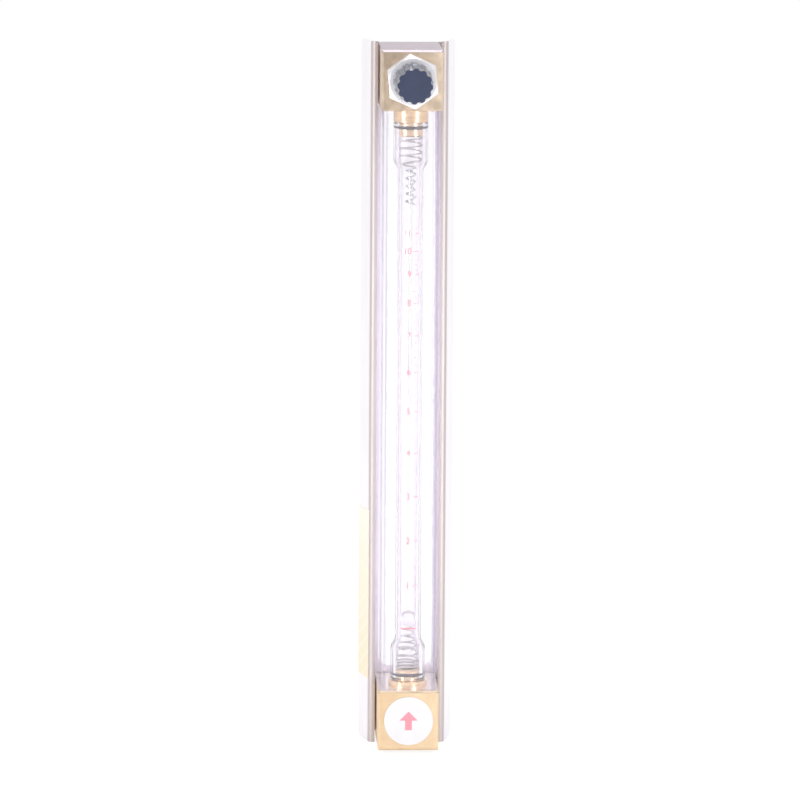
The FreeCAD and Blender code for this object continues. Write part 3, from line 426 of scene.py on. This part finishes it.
def revolved(radii, along, sides, centre, axis="z", closed=True):
    """Revolves an outline of radii and places along the axis; an open outline gets flat ends.

    radii may be one row of numbers or a row for each side, so that the section may vary.
    """
    turn = np.linspace(0, 2 * math.pi, sides, endpoint=False)
    radii = np.asarray(radii, float)
    if radii.ndim == 1:
        radii = np.repeat(radii[None, :], sides, 0)
    along = np.repeat(np.asarray(along, float)[None, :], sides, 0)
    if axis == "z":
        points = np.stack([radii * np.cos(turn)[:, None], radii * np.sin(turn)[:, None],
                           along], -1)
    else:
        points = np.stack([radii * np.cos(turn)[:, None], along,
                           radii * np.sin(turn)[:, None]], -1)
    points = points + np.array(centre)
    columns = radii.shape[1]
    faces = [tuple(face) for face in grid_faces(sides, columns, True, closed)]
    if not closed:
        first = [k * columns for k in range(sides)]
        faces += [tuple(reversed(first)), tuple(k + columns - 1 for k in first)]
    return points.reshape(-1, 3), faces


def smooth_step(value, start, end):
    """0 before start, 1 after end, and an even slope between them."""
    return np.clip((value - start) / (end - start), 0.0, 1.0)


# ---------------------------------------------------------------------------------------------
# Settings
# ---------------------------------------------------------------------------------------------
def length(words, value, low=0.0, high=5.0):
    return FloatProperty(name=words, description=words, default=value, min=low, max=high,
                         unit="LENGTH", precision=5)


def tint(words, value):
    return FloatVectorProperty(name=words, description=words, default=value, min=0.0, max=1.0,
                               size=3, subtype="COLOR")


def plain(words, value, low, high):
    return FloatProperty(name=words, description=words, default=value, min=low, max=high)


class StageSettings(bpy.types.PropertyGroup):
    """Camera, lights and floor."""

    azimuth: plain("Camera round the object, degrees", -2.38, -180.0, 180.0)
    elevation: plain("Camera above the level, degrees", 8.125, -90.0, 90.0)
    roll: plain("Lean of the camera, degrees", -0.358, -10.0, 10.0)
    distance: length("Camera to the block fronts", 2.1)
    lens: plain("Focal length on a 36 mm sensor", 258.07, 10.0, 500.0)
    sideways: plain("Shift to the side, share of the frame", -0.01306, -0.5, 0.5)
    upwards: plain("Shift upwards, share of the frame", 0.00418, -0.5, 0.5)
    aim_height: length("Height of the aim over the inlet", 0.1184)
    room_light: plain("Light of the room behind and beside the object", 1.0, 0.0, 5.0)
    front_light: plain("Light of the room in front of the object", 0.62, 0.0, 5.0)
    strip_light: plain("Each strip lamp beside the object, watts", 0.35, 0.0, 500.0)
    top_light: plain("Lamp overhead, watts", 6.0, 0.0, 500.0)
    floor_colour: tint("Floor", (0.86, 0.86, 0.87))


class MetalSettings(bpy.types.PropertyGroup):
    """Colours of the metals."""

    # Dark and light brass are also blended across each block from -X to +X, which is painted shade
    # and light.
    brass_dark: tint("Brass in the hollows", (0.50, 0.39, 0.29))
    brass_light: tint("Brass on the lands", (0.98, 0.80, 0.62))
    # Painted reflection of the grey room on the top face and chamfer of the upper block.
    brass_top: tint("Painted reflection on the top of the upper block", (0.50, 0.44, 0.50))
    low_brass_dark: tint("Lower brass in the hollows", (0.80, 0.58, 0.36))
    low_brass_light: tint("Lower brass on the lands", (0.97, 0.77, 0.53))
    # Painted shade on the chamfer at the top of the lower block.
    low_brass_bevel: tint("Upper edge of the lower block", (0.42, 0.33, 0.25))
    # Painted reflection on the top face of the lower block.
    low_brass_top: tint("Painted reflection on the top of the lower block", (0.86, 0.80, 0.78))
    insert_dark: tint("Turned brass, dark", (0.62, 0.42, 0.25))
    insert_light: tint("Turned brass, light", (0.90, 0.68, 0.46))
    sheet_dark: tint("Sheet, dark", (0.86, 0.82, 0.86))
    sheet_light: tint("Sheet, light", (0.97, 0.94, 0.98))
    # Painted reflection and shade on the front lips of the sheet.
    sheet_worn: tint("Sheet, lips", (0.50, 0.43, 0.41))
    plate_dark: tint("Plated parts, dark", (0.78, 0.76, 0.80))
    plate_light: tint("Plated parts, light", (0.93, 0.91, 0.94))
    satin_dark: tint("Satin plating, dark", (0.88, 0.86, 0.92))
    satin_light: tint("Satin plating, light", (0.97, 0.96, 0.98))
    wire_dark: tint("Spring wire, dark", (0.34, 0.32, 0.34))
    wire_light: tint("Spring wire, light", (0.62, 0.60, 0.62))


class ClearSettings(bpy.types.PropertyGroup):
    """Glass and clear plastic."""

    glass: tint("Glass", (0.985, 0.975, 0.99))
    glass_index: plain("Refractive index of the glass", 1.474, 1.0, 2.5)
    glass_shade: tint("Light let through the glass to its shadow", (0.95, 0.95, 0.96))
    ball_index: plain("Refractive index of the ball", 1.52, 1.0, 2.5)
    ball_shade: tint("Light let through the ball to its shadow", (0.9, 0.9, 0.92))
    plastic: tint("Clear plastic seen squarely", (0.985, 0.98, 0.99))
    plastic_edge: tint("Clear plastic seen at a slant", (0.72, 0.69, 0.76))
    plastic_index: plain("Refractive index of the plastic", 1.49, 1.0, 2.5)
    end_length: length("Straight lower end of the tube", 11.6 * MM)
    top_length: length("Straight upper end of the tube", 13.6 * MM)
    shoulder: length("Shoulder of the tube", 4.0 * MM)
    neck_radius: length("Outside of the metering length", 4.8 * MM)
    socket_radius: length("Inside of a wide end", 4.6 * MM)
    bore_low: length("Bore radius at the foot", 3.06 * MM)
    bore_high: length("Bore radius at the head", 3.5 * MM)
    rib_crest: length("Radius that the rib crests keep", 3.0 * MM)
    rib_radius: length("Rounding of a rib", 0.6 * MM)


class SpringSettings(bpy.types.PropertyGroup):
    """Stop springs."""

    wire: length("Wire radius", 0.29 * MM)
    low_coil: length("Seat coils of the lower spring", 3.9 * MM)
    low_tip: length("Tip coil of the lower spring", 1.6 * MM)
    low_seat: length("Height of the seat coils", 3.3 * MM)
    top_coil: length("Wide coils of the upper spring", 4.0 * MM)
    top_tip: length("Narrow coils of the upper spring", 1.75 * MM)
    top_seat: length("Height of the wide coils", 8.25 * MM)
    top_cone: length("Height of the narrowing coil", 2.6 * MM)
    rubber: tint("Rubber of the rings", (0.012, 0.012, 0.018))


class ScaleSettings(bpy.types.PropertyGroup):
    """Printed scale."""

    first: length("Height of the figure 1", 49.4 * MM)
    last: length("Height of the figure 11", 180.2 * MM)
    figures: IntProperty(name="Figures", description="Figures on the scale", default=11)
    figure_height: length("Height of a figure", 2.5 * MM)
    red_line: length("Height of the line across under the ball", 33.4 * MM)
    ink: tint("Ink", (0.62, 0.10, 0.14))


class KnobSettings(bpy.types.PropertyGroup):
    """Fluted knob."""

    flutes: IntProperty(name="Flutes", description="Flutes round the knob", default=12)
    flute_radius: length("Radius of a flute", 1.15 * MM)
    flute_depth: length("Depth of a flute", 0.65 * MM)
    colour: tint("Knob", (0.035, 0.045, 0.085))


class LabelSettings(bpy.types.PropertyGroup):
    """Colours of the two labels."""

    paper: tint("Round label", (0.74, 0.73, 0.77))
    arrow: tint("Ink of the flow arrow", (0.93, 0.25, 0.30))
    side_pale: tint("Side label at its head, and its stripes", (0.84, 0.79, 0.68))
    side_yellow: tint("Side label at its foot", (0.82, 0.70, 0.49))


def settings(context, name):
    return getattr(context.scene, "rotameter_" + name)


def dress(finish, *nodes):
    """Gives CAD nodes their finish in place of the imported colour."""
    for name in nodes:
        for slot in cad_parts[name].material_slots:
            slot.material = finish


# ---------------------------------------------------------------------------------------------
# Operators
# ---------------------------------------------------------------------------------------------
class ROTAMETER_OT_stage(bpy.types.Operator):
    """Set up the floor, the soft lights, the room and the camera"""

    bl_idname = "rotameter.stage"
    bl_label = "Stage"

    def execute(self, context):
        stage = settings(context, "stage")
        self.floor(stage)
        self.room(context, stage)
        self.lamps(context, stage)
        self.camera(context, stage)
        return {"FINISHED"}

    def floor(self, stage):
        low, high = CAD_BOX
        half, drop = 3.0, 0.02 * MM
        z = low[2] - drop
        corners = [(-half, -half, z), (half, -half, z), (half, half, z), (-half, half, z)]
        f = Finish("pale_floor")
        cloud = f.noise(3.0, detail=3.0)
        paper = f.surface({
            "Base Color": f.blend(cloud, stage.floor_colour, tuple(
                c * 0.99 for c in stage.floor_colour)), "Roughness": 0.8})
        glow = f.node("ShaderNodeEmission", {}, {
            "Color": (1.0, 1.0, 1.0, 1.0), "Strength": 1.15}).field("Emission")
        rear = f.spread(f.along("Y"), -0.1, 0.1)
        mirrored = f.node("ShaderNodeLightPath").field("Is Glossy Ray") * rear
        finish = f.done(f.mix(f.seen().largest(mirrored) * 0.75, paper, glow))
        mesh = bpy.data.meshes.new("floor")
        mesh.from_pydata(corners, [], [(0, 1, 2, 3)])
        mesh.materials.append(finish)
        floor = bpy.data.objects.new("floor", mesh)
        bpy.context.scene.collection.objects.link(floor)

    def room(self, context, stage):
        world = bpy.data.worlds.new("room")
        world.use_nodes = True
        context.scene.world = world
        f = Finish("room", world.node_tree)
        behind = f.spread(f.along("Y"), -0.25, 0.15)
        lit = stage.front_light + behind * (stage.room_light - stage.front_light)
        strength = lit + f.seen() * (1.0 - lit)
        glow = f.node("ShaderNodeBackground", {}, {
            "Color": (1.0, 1.0, 1.0, 1.0), "Strength": strength})
        f.node("ShaderNodeOutputWorld", {}, {"Surface": glow.field("Background")})

    def lamps(self, context, stage):
        aim = Vector((0.0, BLOCK_LOW.y, stage.aim_height))
        strip = (0.022, 0.26, stage.strip_light)
        places = {
            "left_strip": ((-0.22, AXIS_Y - 0.18, 0.12), *strip),
            "right_strip": ((0.18, AXIS_Y - 0.22, 0.12), *strip),
            "top_lamp": ((0.0, -0.3, 1.4), 1.0, 1.0, stage.top_light),
        }
        for name, (place, width, tall, power) in places.items():
            lamp = bpy.data.lights.new(name, "AREA")
            lamp.shape = "RECTANGLE"
            lamp.size = width
            lamp.size_y = tall
            lamp.energy = power
            thing = bpy.data.objects.new(name, lamp)
            thing.location = place
            thing.rotation_euler = (aim - Vector(place)).to_track_quat("-Z", "Y").to_euler()
            context.scene.collection.objects.link(thing)

    def camera(self, context, stage):
        a, e = math.radians(stage.azimuth), math.radians(stage.elevation)
        away = Vector((math.sin(a) * math.cos(e), -math.cos(a) * math.cos(e), math.sin(e)))
        aim = Vector((0.0, BLOCK_LOW.y, stage.aim_height))
        right = Vector((math.cos(a), math.sin(a), 0.0))
        up = away.cross(right)
        lean = math.radians(stage.roll)
        right, up = (right * math.cos(lean) - up * math.sin(lean),
                     right * math.sin(lean) + up * math.cos(lean))
        lens = bpy.data.cameras.new("camera")
        lens.sensor_width = 36.0
        lens.lens = stage.lens
        lens.shift_x = stage.sideways
        lens.shift_y = stage.upwards
        lens.clip_end = 50.0
        thing = bpy.data.objects.new("camera", lens)
        spot = aim + away * stage.distance
        turned = Matrix((right, up, away)).transposed().to_4x4()
        thing.matrix_world = Matrix.Translation(spot) @ turned
        context.scene.collection.objects.link(thing)
        context.scene.camera = thing


class ROTAMETER_OT_housing(bpy.types.Operator):
    """Finish the folded channel, the end blocks and the screws"""

    bl_idname = "rotameter.housing"
    bl_label = "Housing and blocks"

    def execute(self, context):
        m = settings(context, "metal")
        dress(brushed_sheet("brushed_sheet", m.sheet_dark, m.sheet_light, m.sheet_worn),
              "housing_channel")
        # The top faces and chamfers take the painted reflection and painted shade colours.
        dress(milled_brass("upper_brass", "top_block", m.brass_dark, m.brass_light,
                           m.brass_top, m.brass_top), "top_block")
        dress(milled_brass("lower_brass", "bottom_block", m.low_brass_dark, m.low_brass_light,
                           m.low_brass_bevel, m.low_brass_top, -0.5), "bottom_block")
        plated = polished_metal("plated_fasteners", m.plate_dark, m.plate_light, 0.25)
        dress(plated, "housing_screws", "housing_washers", "knob_set_screw")
        return {"FINISHED"}


class ROTAMETER_OT_shields(bpy.types.Operator):
    """Make the front and rear shields clear"""

    bl_idname = "rotameter.shields"
    bl_label = "Clear shields"

    def execute(self, context):
        c = settings(context, "clear")
        plastic = clear_pane("clear_plastic", c.plastic, c.plastic_edge, c.plastic_index)
        dress(plastic, "front_shield", "rear_shield")
        return {"FINISHED"}


class ROTAMETER_OT_tube(bpy.types.Operator):
    """Make the glass tube with its tapered, three-ribbed bore"""

    bl_idname = "rotameter.tube"
    bl_label = "Glass tube"

    def execute(self, context):
        c = settings(context, "clear")
        glass = clear_body("tube_glass", c.glass, c.glass_index, 0.004 * MM, c.glass_shade)
        points, faces = self.wall(c)
        new_piece("glass_tube", points, faces, glass, "housing",
                  ["metering_tube"], 30.0)
        return {"FINISHED"}

    def wall(self, c, sides=192):
        """The wall is a closed outline carried round the axis.

        Outside, the radius eases from the wide ends to the neck with a cosine; inside, it is the
        lesser of the tapered bore and the rib, whose crest keeps one radius: at an angle t from a
        rib's middle, the rib's face is the near root of a circle of the rib's rounding.
        """
        low, high = TUBE_LOW.z, TUBE_HIGH.z
        end = TUBE_HIGH.x
        a, b = low + c.end_length, low + c.end_length + c.shoulder
        d, e = high - c.top_length - c.shoulder, high - c.top_length
        ease = np.linspace(0.0, 1.0, 13)
        swell = (1.0 - np.cos(math.pi * ease)) / 2
        lip = 0.25 * MM
        outer_z = np.concatenate([[low, low + lip], a + ease * (b - a), d + ease * (e - d),
                                  [high - lip, high]])
        outer_r = np.concatenate([[end - lip, end], end + swell * (c.neck_radius - end),
                                  c.neck_radius + swell * (end - c.neck_radius),
                                  [end, end - lip]])
        neck_z = np.linspace(d, b, 40)
        bore = c.bore_low + (c.bore_high - c.bore_low) * smooth_step(neck_z, b, d)
        inner_z = np.concatenate([[high, high - lip], e + ease * (d - e), neck_z[1:-1],
                                  b + ease * (a - b), [low + lip, low]])
        inner_r = np.concatenate([
            [c.socket_radius + lip, c.socket_radius],
            c.socket_radius + swell * (c.bore_high - c.socket_radius), bore[1:-1],
            c.bore_low + swell * (c.socket_radius - c.bore_low),
            [c.socket_radius, c.socket_radius + lip]])
        z = np.concatenate([outer_z, inner_z])
        r = np.concatenate([outer_r, inner_r])
        rows = np.repeat(r[None, :], sides, 0)
        turn = np.linspace(0, 2 * math.pi, sides, endpoint=False) + math.pi / 2
        off = (turn + math.pi / 3) % (2 * math.pi / 3) - math.pi / 3
        centre = c.rib_crest + c.rib_radius
        inside = c.rib_radius ** 2 - (centre * np.sin(off)) ** 2
        crest = np.where(inside > 0, centre * np.cos(off) - np.sqrt(np.maximum(inside, 0)), 1.0)
        ribbed = (z <= d) & (z >= b) & (np.arange(len(z)) >= len(outer_z))
        rows[:, ribbed] = np.minimum(rows[:, ribbed], crest[:, None])
        points, faces = revolved(rows, z, sides, (0.0, AXIS_Y, 0.0))
        return points, faces


class ROTAMETER_OT_ball(bpy.types.Operator):
    """Make the clear ball float"""

    bl_idname = "rotameter.ball"
    bl_label = "Ball float"

    def execute(self, context):
        c = settings(context, "clear")
        glass = clear_body("ball_glass", c.glass, c.ball_index, 0.002 * MM, c.ball_shade)
        low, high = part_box("float_ball")
        radius = (high.z - low.z) / 2
        centre = ((low.x + high.x) / 2, AXIS_Y, (low.z + high.z) / 2)
        points, faces = self.sphere(radius, centre)
        new_piece("glass_ball", points, faces, glass, "float", ["float_ball"])
        return {"FINISHED"}

    def sphere(self, radius, centre, sides=96, rings=48):
        """Radius times (cos u sin v, sin u sin v, cos v), with one point at each pole."""
        u = np.linspace(0, 2 * math.pi, sides, endpoint=False)
        v = np.linspace(0, math.pi, rings + 1)[1:-1]
        v, u = np.meshgrid(v, u, indexing="ij")
        ring = np.stack([np.cos(u) * np.sin(v), np.sin(u) * np.sin(v), np.cos(v)], -1)
        points = np.vstack([ring.reshape(-1, 3), [[0, 0, 1]], [[0, 0, -1]]]) * radius + centre
        faces = [tuple(face) for face in grid_faces(rings - 1, sides, False, True)]
        top, bottom = len(points) - 2, len(points) - 1
        last = (rings - 2) * sides
        faces += [(top, k, (k + 1) % sides) for k in range(sides)]
        faces += [(bottom, last + (k + 1) % sides, last + k) for k in range(sides)]
        return points, faces


class ROTAMETER_OT_springs(bpy.types.Operator):
    """Wind the two stop springs and finish the seals and inserts"""

    bl_idname = "rotameter.springs"
    bl_label = "Springs, seals and inserts"

    def execute(self, context):
        s, m = settings(context, "spring"), settings(context, "metal")
        wire = polished_metal("drawn_wire", m.wire_dark, m.wire_light, 0.28)
        low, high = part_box("lower_stop_spring")
        foot, head = low.z + s.wire, high.z - s.wire
        cone = head - foot - s.low_seat
        self.wind("lower_spring", foot, 1, s.wire, wire, "lower_stop_spring", [
            (s.low_coil, s.low_coil, s.low_seat, 3), (s.low_coil, s.low_tip, cone, 5)])
        low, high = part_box("upper_stop_spring")
        foot, head = low.z + s.wire, high.z - s.wire
        tip = head - foot - s.top_seat - s.top_cone
        self.wind("upper_spring", head, -1, s.wire, wire, "upper_stop_spring", [
            (s.top_coil, s.top_coil, s.top_seat, 3), (s.top_coil, s.top_tip, s.top_cone, 1),
            (s.top_tip, s.top_tip, tip, 5)])
        rubber = moulded("seal_rubber", s.rubber, 0.35, 0.004 * MM)
        for name in ("upper_tube", "lower_tube", "upper_insert", "lower_insert"):
            self.seal(name + "_ring", rubber, name + "_o_ring", "housing", "z")
        self.seal("bonnet_ring", rubber, "bonnet_o_ring", "housing", "y")
        self.seal("spindle_ring", rubber, "spindle_o_ring", "spindle", "y")
        turned = turned_metal("turned_brass", m.insert_dark, m.insert_light, 0.18)
        dress(turned, "upper_tube_insert", "lower_tube_insert", "valve_seat")
        return {"FINISHED"}

    def seal(self, name, finish, node, body, axis):
        """A torus round the node's own axis; an upright one is pressed flat against its bore.

        At the angle t of its section it reaches outwards by thick times cos t, swelled by a
        quarter and held at thick plus the touch, and stands thick times sin t along the axis.
        """
        low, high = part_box(node)
        upright = axis == "z"
        thick = (high.z - low.z if upright else high.y - low.y) / 2
        reach = (high.x - low.x) / 2 - thick
        turn = np.linspace(0, 2 * math.pi, 32, endpoint=False)
        way, swell, touch = (1, 1.25, 0.03 * MM) if upright else (-1, 1.0, 0.0)
        outwards = np.minimum(swell * thick * np.cos(turn), thick + touch)
        points, faces = revolved(reach + outwards, way * thick * np.sin(turn), 96,
                                 (low + high) / 2, axis)
        new_piece(name, points, faces, finish, body, [node])

    def wind(self, name, start, way, radius, finish, node, stages):
        """Each stage turns evenly while its radius and height run evenly to their next values."""
        steps = 40
        radii, heights, turns = [stages[0][0]], [start], [0.0]
        for _, last, height, count in stages:
            radii.append(last)
            heights.append(heights[-1] + height * way)
            turns.append(turns[-1] + count)
        t = np.linspace(0, turns[-1], int(turns[-1] * steps) + 1)
        reach = np.interp(t, turns, radii)
        z = np.interp(t, turns, heights)
        angle = 2 * math.pi * t * way
        path = np.stack([reach * np.cos(angle), AXIS_Y + reach * np.sin(angle), z], 1)
        points, faces = tube_along(path, radius, 14)
        new_piece(name, points, faces, finish, "housing", [node])


class ROTAMETER_OT_scale(bpy.types.Operator):
    """Print the scale, its figures and the red line on the tube"""

    bl_idname = "rotameter.scale"
    bl_label = "Printed scale"

    def execute(self, context):
        s = settings(context, "scale")
        ink = printed_ink("scale_ink", s.ink)
        self.marks(s, ink)
        self.figures(s, ink)
        return {"FINISHED"}

    def height(self, s, value):
        """Height of a reading: spacings shrink as the taper opens, by a cubic in the reading."""
        t = (value - 1.0) / (s.figures - 1.0)
        bent = 1.282 * t + 0.02 * t ** 2 - 0.302 * t ** 3
        return s.first + (s.last - s.first) * bent

    def patch(self, x0, x1, z0, z1, radius, columns):
        """A thin slab on the tube's front: x is the arc to the side, so the angle is x / r."""
        x = np.linspace(x0, x1, columns + 1)
        angle = x / radius
        rows = []
        for reach in (radius - INK_SINK, radius + INK_RISE):
            for z in (z0, z1):
                rows.append(np.stack([reach * np.sin(angle), AXIS_Y - reach * np.cos(angle),
                                      np.full_like(x, z)], 1))
        return np.stack([rows[0], rows[1], rows[3], rows[2]])

    def marks(self, s, ink):
        """Long marks at the figures, short ones at the fifths, a line across below the scale."""
        radius = settings(bpy.context, "clear").neck_radius
        points, faces = [], []

        def add(x0, x1, z, half, columns=4):
            block = self.patch(x0, x1, z - half, z + half, radius, columns)
            count, start = block.shape[1], sum(len(p) for p in points)
            quads = grid_faces(4, count, True, False)
            caps = [(3 * count, 2 * count, count, 0),
                    tuple(k * count + count - 1 for k in range(4))]
            points.append(block.reshape(-1, 3))
            faces.extend([tuple(start + k for k in face) for face in quads])
            faces.extend([tuple(start + k for k in face) for face in caps])

        long, short = (1.1 * MM, 3.6 * MM), (1.0 * MM, 2.35 * MM)
        fine, bold = 0.07 * MM, 0.11 * MM
        fifths = 5
        for k in range((s.figures - 1) * fifths + 1):
            z = self.height(s, 1 + k / fifths)
            if k % fifths == 0:
                add(*long, z, bold)
            else:
                add(*short, z, fine)
        add(*short, self.height(s, s.figures) + 1.6 * MM, fine)
        add(-3.0 * MM, 3.0 * MM, s.red_line, 0.2 * MM, 12)
        new_piece("scale_marks", np.vstack(points), faces, ink, "housing")

    def figures(self, s, ink):
        """Figures are set flat, then bent: x becomes the angle x / r round the tube's axis."""
        radius = settings(bpy.context, "clear").neck_radius
        for value in range(1, s.figures + 1):
            text = bpy.data.curves.new("figure", "FONT")
            text.body = str(value)
            text.size = s.figure_height * 1.38
            text.align_x = "RIGHT"
            text.align_y = "CENTER"
            text.extrude = 0.5 * MM
            text.resolution_u = 4
            flat = bpy.data.objects.new("figure", text)
            bpy.context.scene.collection.objects.link(flat)
            shape = flat.evaluated_get(bpy.context.evaluated_depsgraph_get())
            mesh = bpy.data.meshes.new_from_object(shape)
            bpy.data.objects.remove(flat)
            knit = bmesh.new()
            knit.from_mesh(mesh)
            bmesh.ops.remove_doubles(knit, verts=knit.verts, dist=0.001 * MM)
            knit.to_mesh(mesh)
            knit.free()
            co = np.zeros(len(mesh.vertices) * 3)
            mesh.vertices.foreach_get("co", co)
            co = co.reshape(-1, 3)
            narrowing, aside = 0.86, 0.3 * MM
            x, up = co[:, 0] * narrowing + aside, co[:, 1] + self.height(s, value)
            reach = radius + np.where(co[:, 2] > 0, INK_RISE, -INK_SINK)
            bent = np.stack([reach * np.sin(x / radius), AXIS_Y - reach * np.cos(x / radius),
                             up], 1)
            mesh.vertices.foreach_set("co", bent.ravel())
            mesh.materials.clear()
            mesh.materials.append(ink)
            piece = bpy.data.objects.new(f"figure_{value}", mesh)
            bpy.context.scene.collection.objects.link(piece)
            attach(piece, "housing")


class ROTAMETER_OT_valve(bpy.types.Operator):
    """Make the fluted knob and finish the bonnet and spindle"""

    bl_idname = "rotameter.valve"
    bl_label = "Needle valve"

    def execute(self, context):
        k, m = settings(context, "knob"), settings(context, "metal")
        dress(self.satin(m), "valve_bonnet")
        dress(polished_metal("plated_spindle", m.plate_dark, m.plate_light, 0.14),
              "valve_spindle")
        dark = self.plastic(k.colour)
        points, faces = self.knob(k)
        new_piece("fluted_knob", points, faces, dark, "knob", ["valve_knob"], 40.0)
        return {"FINISHED"}

    def satin(self, m):
        """Bright satin plating: half mirror, half milky, with lathe marks round the valve."""
        f = Finish("satin_plate")
        rings = f.noise(2600.0, (0.05, 1.0, 0.05), 2.0)
        cloud = f.noise(350.0, detail=4.0)
        colour = f.blend(f.spread(cloud, 0.3, 0.7), m.satin_dark, m.satin_light)
        return f.done(f.surface({
            "Base Color": colour, "Metallic": 0.45, "Roughness": 0.18 + rings * 0.15,
            "Normal": f.bump(rings, 0.003 * MM)}))

    def plastic(self, colour):
        """Dark polished plastic with a faint turned grain on its face."""
        f = Finish("knob_plastic")
        cloud = f.noise(220.0, detail=3.0)
        fine = f.noise(3800.0, detail=2.0)
        paler = tuple(c * 1.3 + 0.004 for c in colour)
        return f.done(f.surface({
            "Base Color": f.blend(cloud, colour, paler), "Roughness": 0.14 + cloud * 0.08,
            "Normal": f.bump(fine, 0.003 * MM)}))

    def knob(self, k, sides=360):
        """A tapered body of revolution with concave flutes.

        At the angle t from a flute's middle the flute is the near root of a circle whose centre
        lies outside the body by the flute's radius less its depth; the outline is the lesser of
        the two radii, so the flutes run out over the bevel at the front.
        """
        low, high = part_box("valve_knob")
        z = (low.z + high.z) / 2
        rear, front = high.y, low.y
        reach = (high.z - low.z) / 2
        taper, bevel, rounding = 0.8 * MM, 0.5 * MM, 0.3 * MM
        slim = reach - taper
        recess, depth = 5.8 * MM, 2.4 * MM
        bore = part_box("valve_spindle")[1].x + 0.02 * MM
        blind = front + (rear - front) * 0.22
        face = slim - 1.2 * MM
        along = np.array([blind, rear - depth, rear - depth, rear, rear,
                          rear - bevel, front + rounding, front + 0.16 * MM, front + 0.04 * MM,
                          front, front])
        radii = np.array([bore, bore, recess, recess, reach - bevel,
                          reach, slim, slim - 0.04 * MM, slim - 0.16 * MM,
                          slim - rounding, face])
        turn = np.linspace(0, 2 * math.pi, sides, endpoint=False)
        pitch = 2 * math.pi / k.flutes
        off = (turn + math.radians(3.0)) % pitch - pitch / 2
        rows = np.repeat(radii[None, :], sides, 0)
        for column in range(4, 10):
            share = (along[column] - front) / (rear - front)
            middle = slim + (reach - slim) * share + k.flute_radius - k.flute_depth
            inside = k.flute_radius ** 2 - (middle * np.sin(off)) ** 2
            groove = middle * np.cos(off) - np.sqrt(np.maximum(inside, 0.0))
            rows[:, column] = np.where(inside > 0, np.minimum(radii[column], groove),
                                       radii[column])
        return revolved(rows, along, sides, (0.0, 0.0, z), "y", False)


class ROTAMETER_OT_labels(bpy.types.Operator):
    """Finish the round label and the side label"""

    bl_idname = "rotameter.labels"
    bl_label = "Labels"

    def execute(self, context):
        paint = settings(context, "label")
        dress(label_film("white_film", paint.paper), "round_label")
        ink = printed_ink("arrow_ink", paint.arrow)
        points, faces = self.arrow(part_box("round_label"))
        new_piece("flow_arrow", points, faces, ink, "housing")
        low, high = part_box("side_label")
        yellow = striped_film("yellow_film", paint.side_pale, paint.side_yellow, low.z, high.z)
        dress(yellow, "side_label")
        return {"FINISHED"}

    def arrow(self, box):
        """A plain arrow up the label: head and shaft as one outline, a thin slab thick."""
        low, high = box
        centre = (low + high) / 2
        outline = np.array([(0.0, 3.6), (3.4, 0.2), (1.25, 0.2), (1.25, -3.4), (-1.25, -3.4),
                            (-1.25, 0.2), (-3.4, 0.2)]) * MM
        count = len(outline)
        slabs = [np.stack([outline[:, 0] + centre.x, np.full(count, low.y + sink * MM),
                           outline[:, 1] + centre.z], 1) for sink in (0.05, -0.012)]
        faces = [tuple(range(count)), tuple(reversed(range(count, 2 * count)))]
        faces += [(k, count + k, count + (k + 1) % count, (k + 1) % count)
                  for k in range(count)]
        return np.vstack(slabs), faces


class ROTAMETER_PT_panel(bpy.types.Panel):
    """Buttons and settings of the rotameter"""

    bl_label = "Rotameter"
    bl_space_type = "VIEW_3D"
    bl_region_type = "UI"
    bl_category = "Rotameter"

    def draw(self, context):
        for name in GROUPS:
            group = settings(context, name)
            box = self.layout.box()
            box.label(text=name.capitalize())
            for key in group.bl_rna.properties.keys():
                if key not in ("rna_type", "name"):
                    box.prop(group, key)
        for operator in OPERATORS:
            self.layout.operator(operator.bl_idname)


GROUPS = {"stage": StageSettings, "metal": MetalSettings, "clear": ClearSettings,
          "spring": SpringSettings, "scale": ScaleSettings, "knob": KnobSettings,
          "label": LabelSettings}
OPERATORS = (ROTAMETER_OT_stage, ROTAMETER_OT_housing, ROTAMETER_OT_shields, ROTAMETER_OT_tube,
             ROTAMETER_OT_ball, ROTAMETER_OT_springs, ROTAMETER_OT_scale, ROTAMETER_OT_valve,
             ROTAMETER_OT_labels)


def register():
    """Adds the settings, the operators and the panel."""
    for name, group in GROUPS.items():
        bpy.utils.register_class(group)
        setattr(bpy.types.Scene, "rotameter_" + name, PointerProperty(type=group))
    for operator in OPERATORS:
        bpy.utils.register_class(operator)
    bpy.utils.register_class(ROTAMETER_PT_panel)


def unregister():
    """Takes them all away again."""
    bpy.utils.unregister_class(ROTAMETER_PT_panel)
    for operator in reversed(OPERATORS):
        bpy.utils.unregister_class(operator)
    for name, group in GROUPS.items():
        delattr(bpy.types.Scene, "rotameter_" + name)
        bpy.utils.unregister_class(group)


def main():
    """Builds everything in order."""
    bpy.context.scene.view_settings.view_transform = "Standard"
    register()
    bpy.ops.rotameter.stage()
    bpy.ops.rotameter.housing()
    bpy.ops.rotameter.shields()
    bpy.ops.rotameter.tube()
    bpy.ops.rotameter.ball()
    bpy.ops.rotameter.springs()
    bpy.ops.rotameter.scale()
    bpy.ops.rotameter.valve()
    bpy.ops.rotameter.labels()


if __name__ == "__main__":
    main()
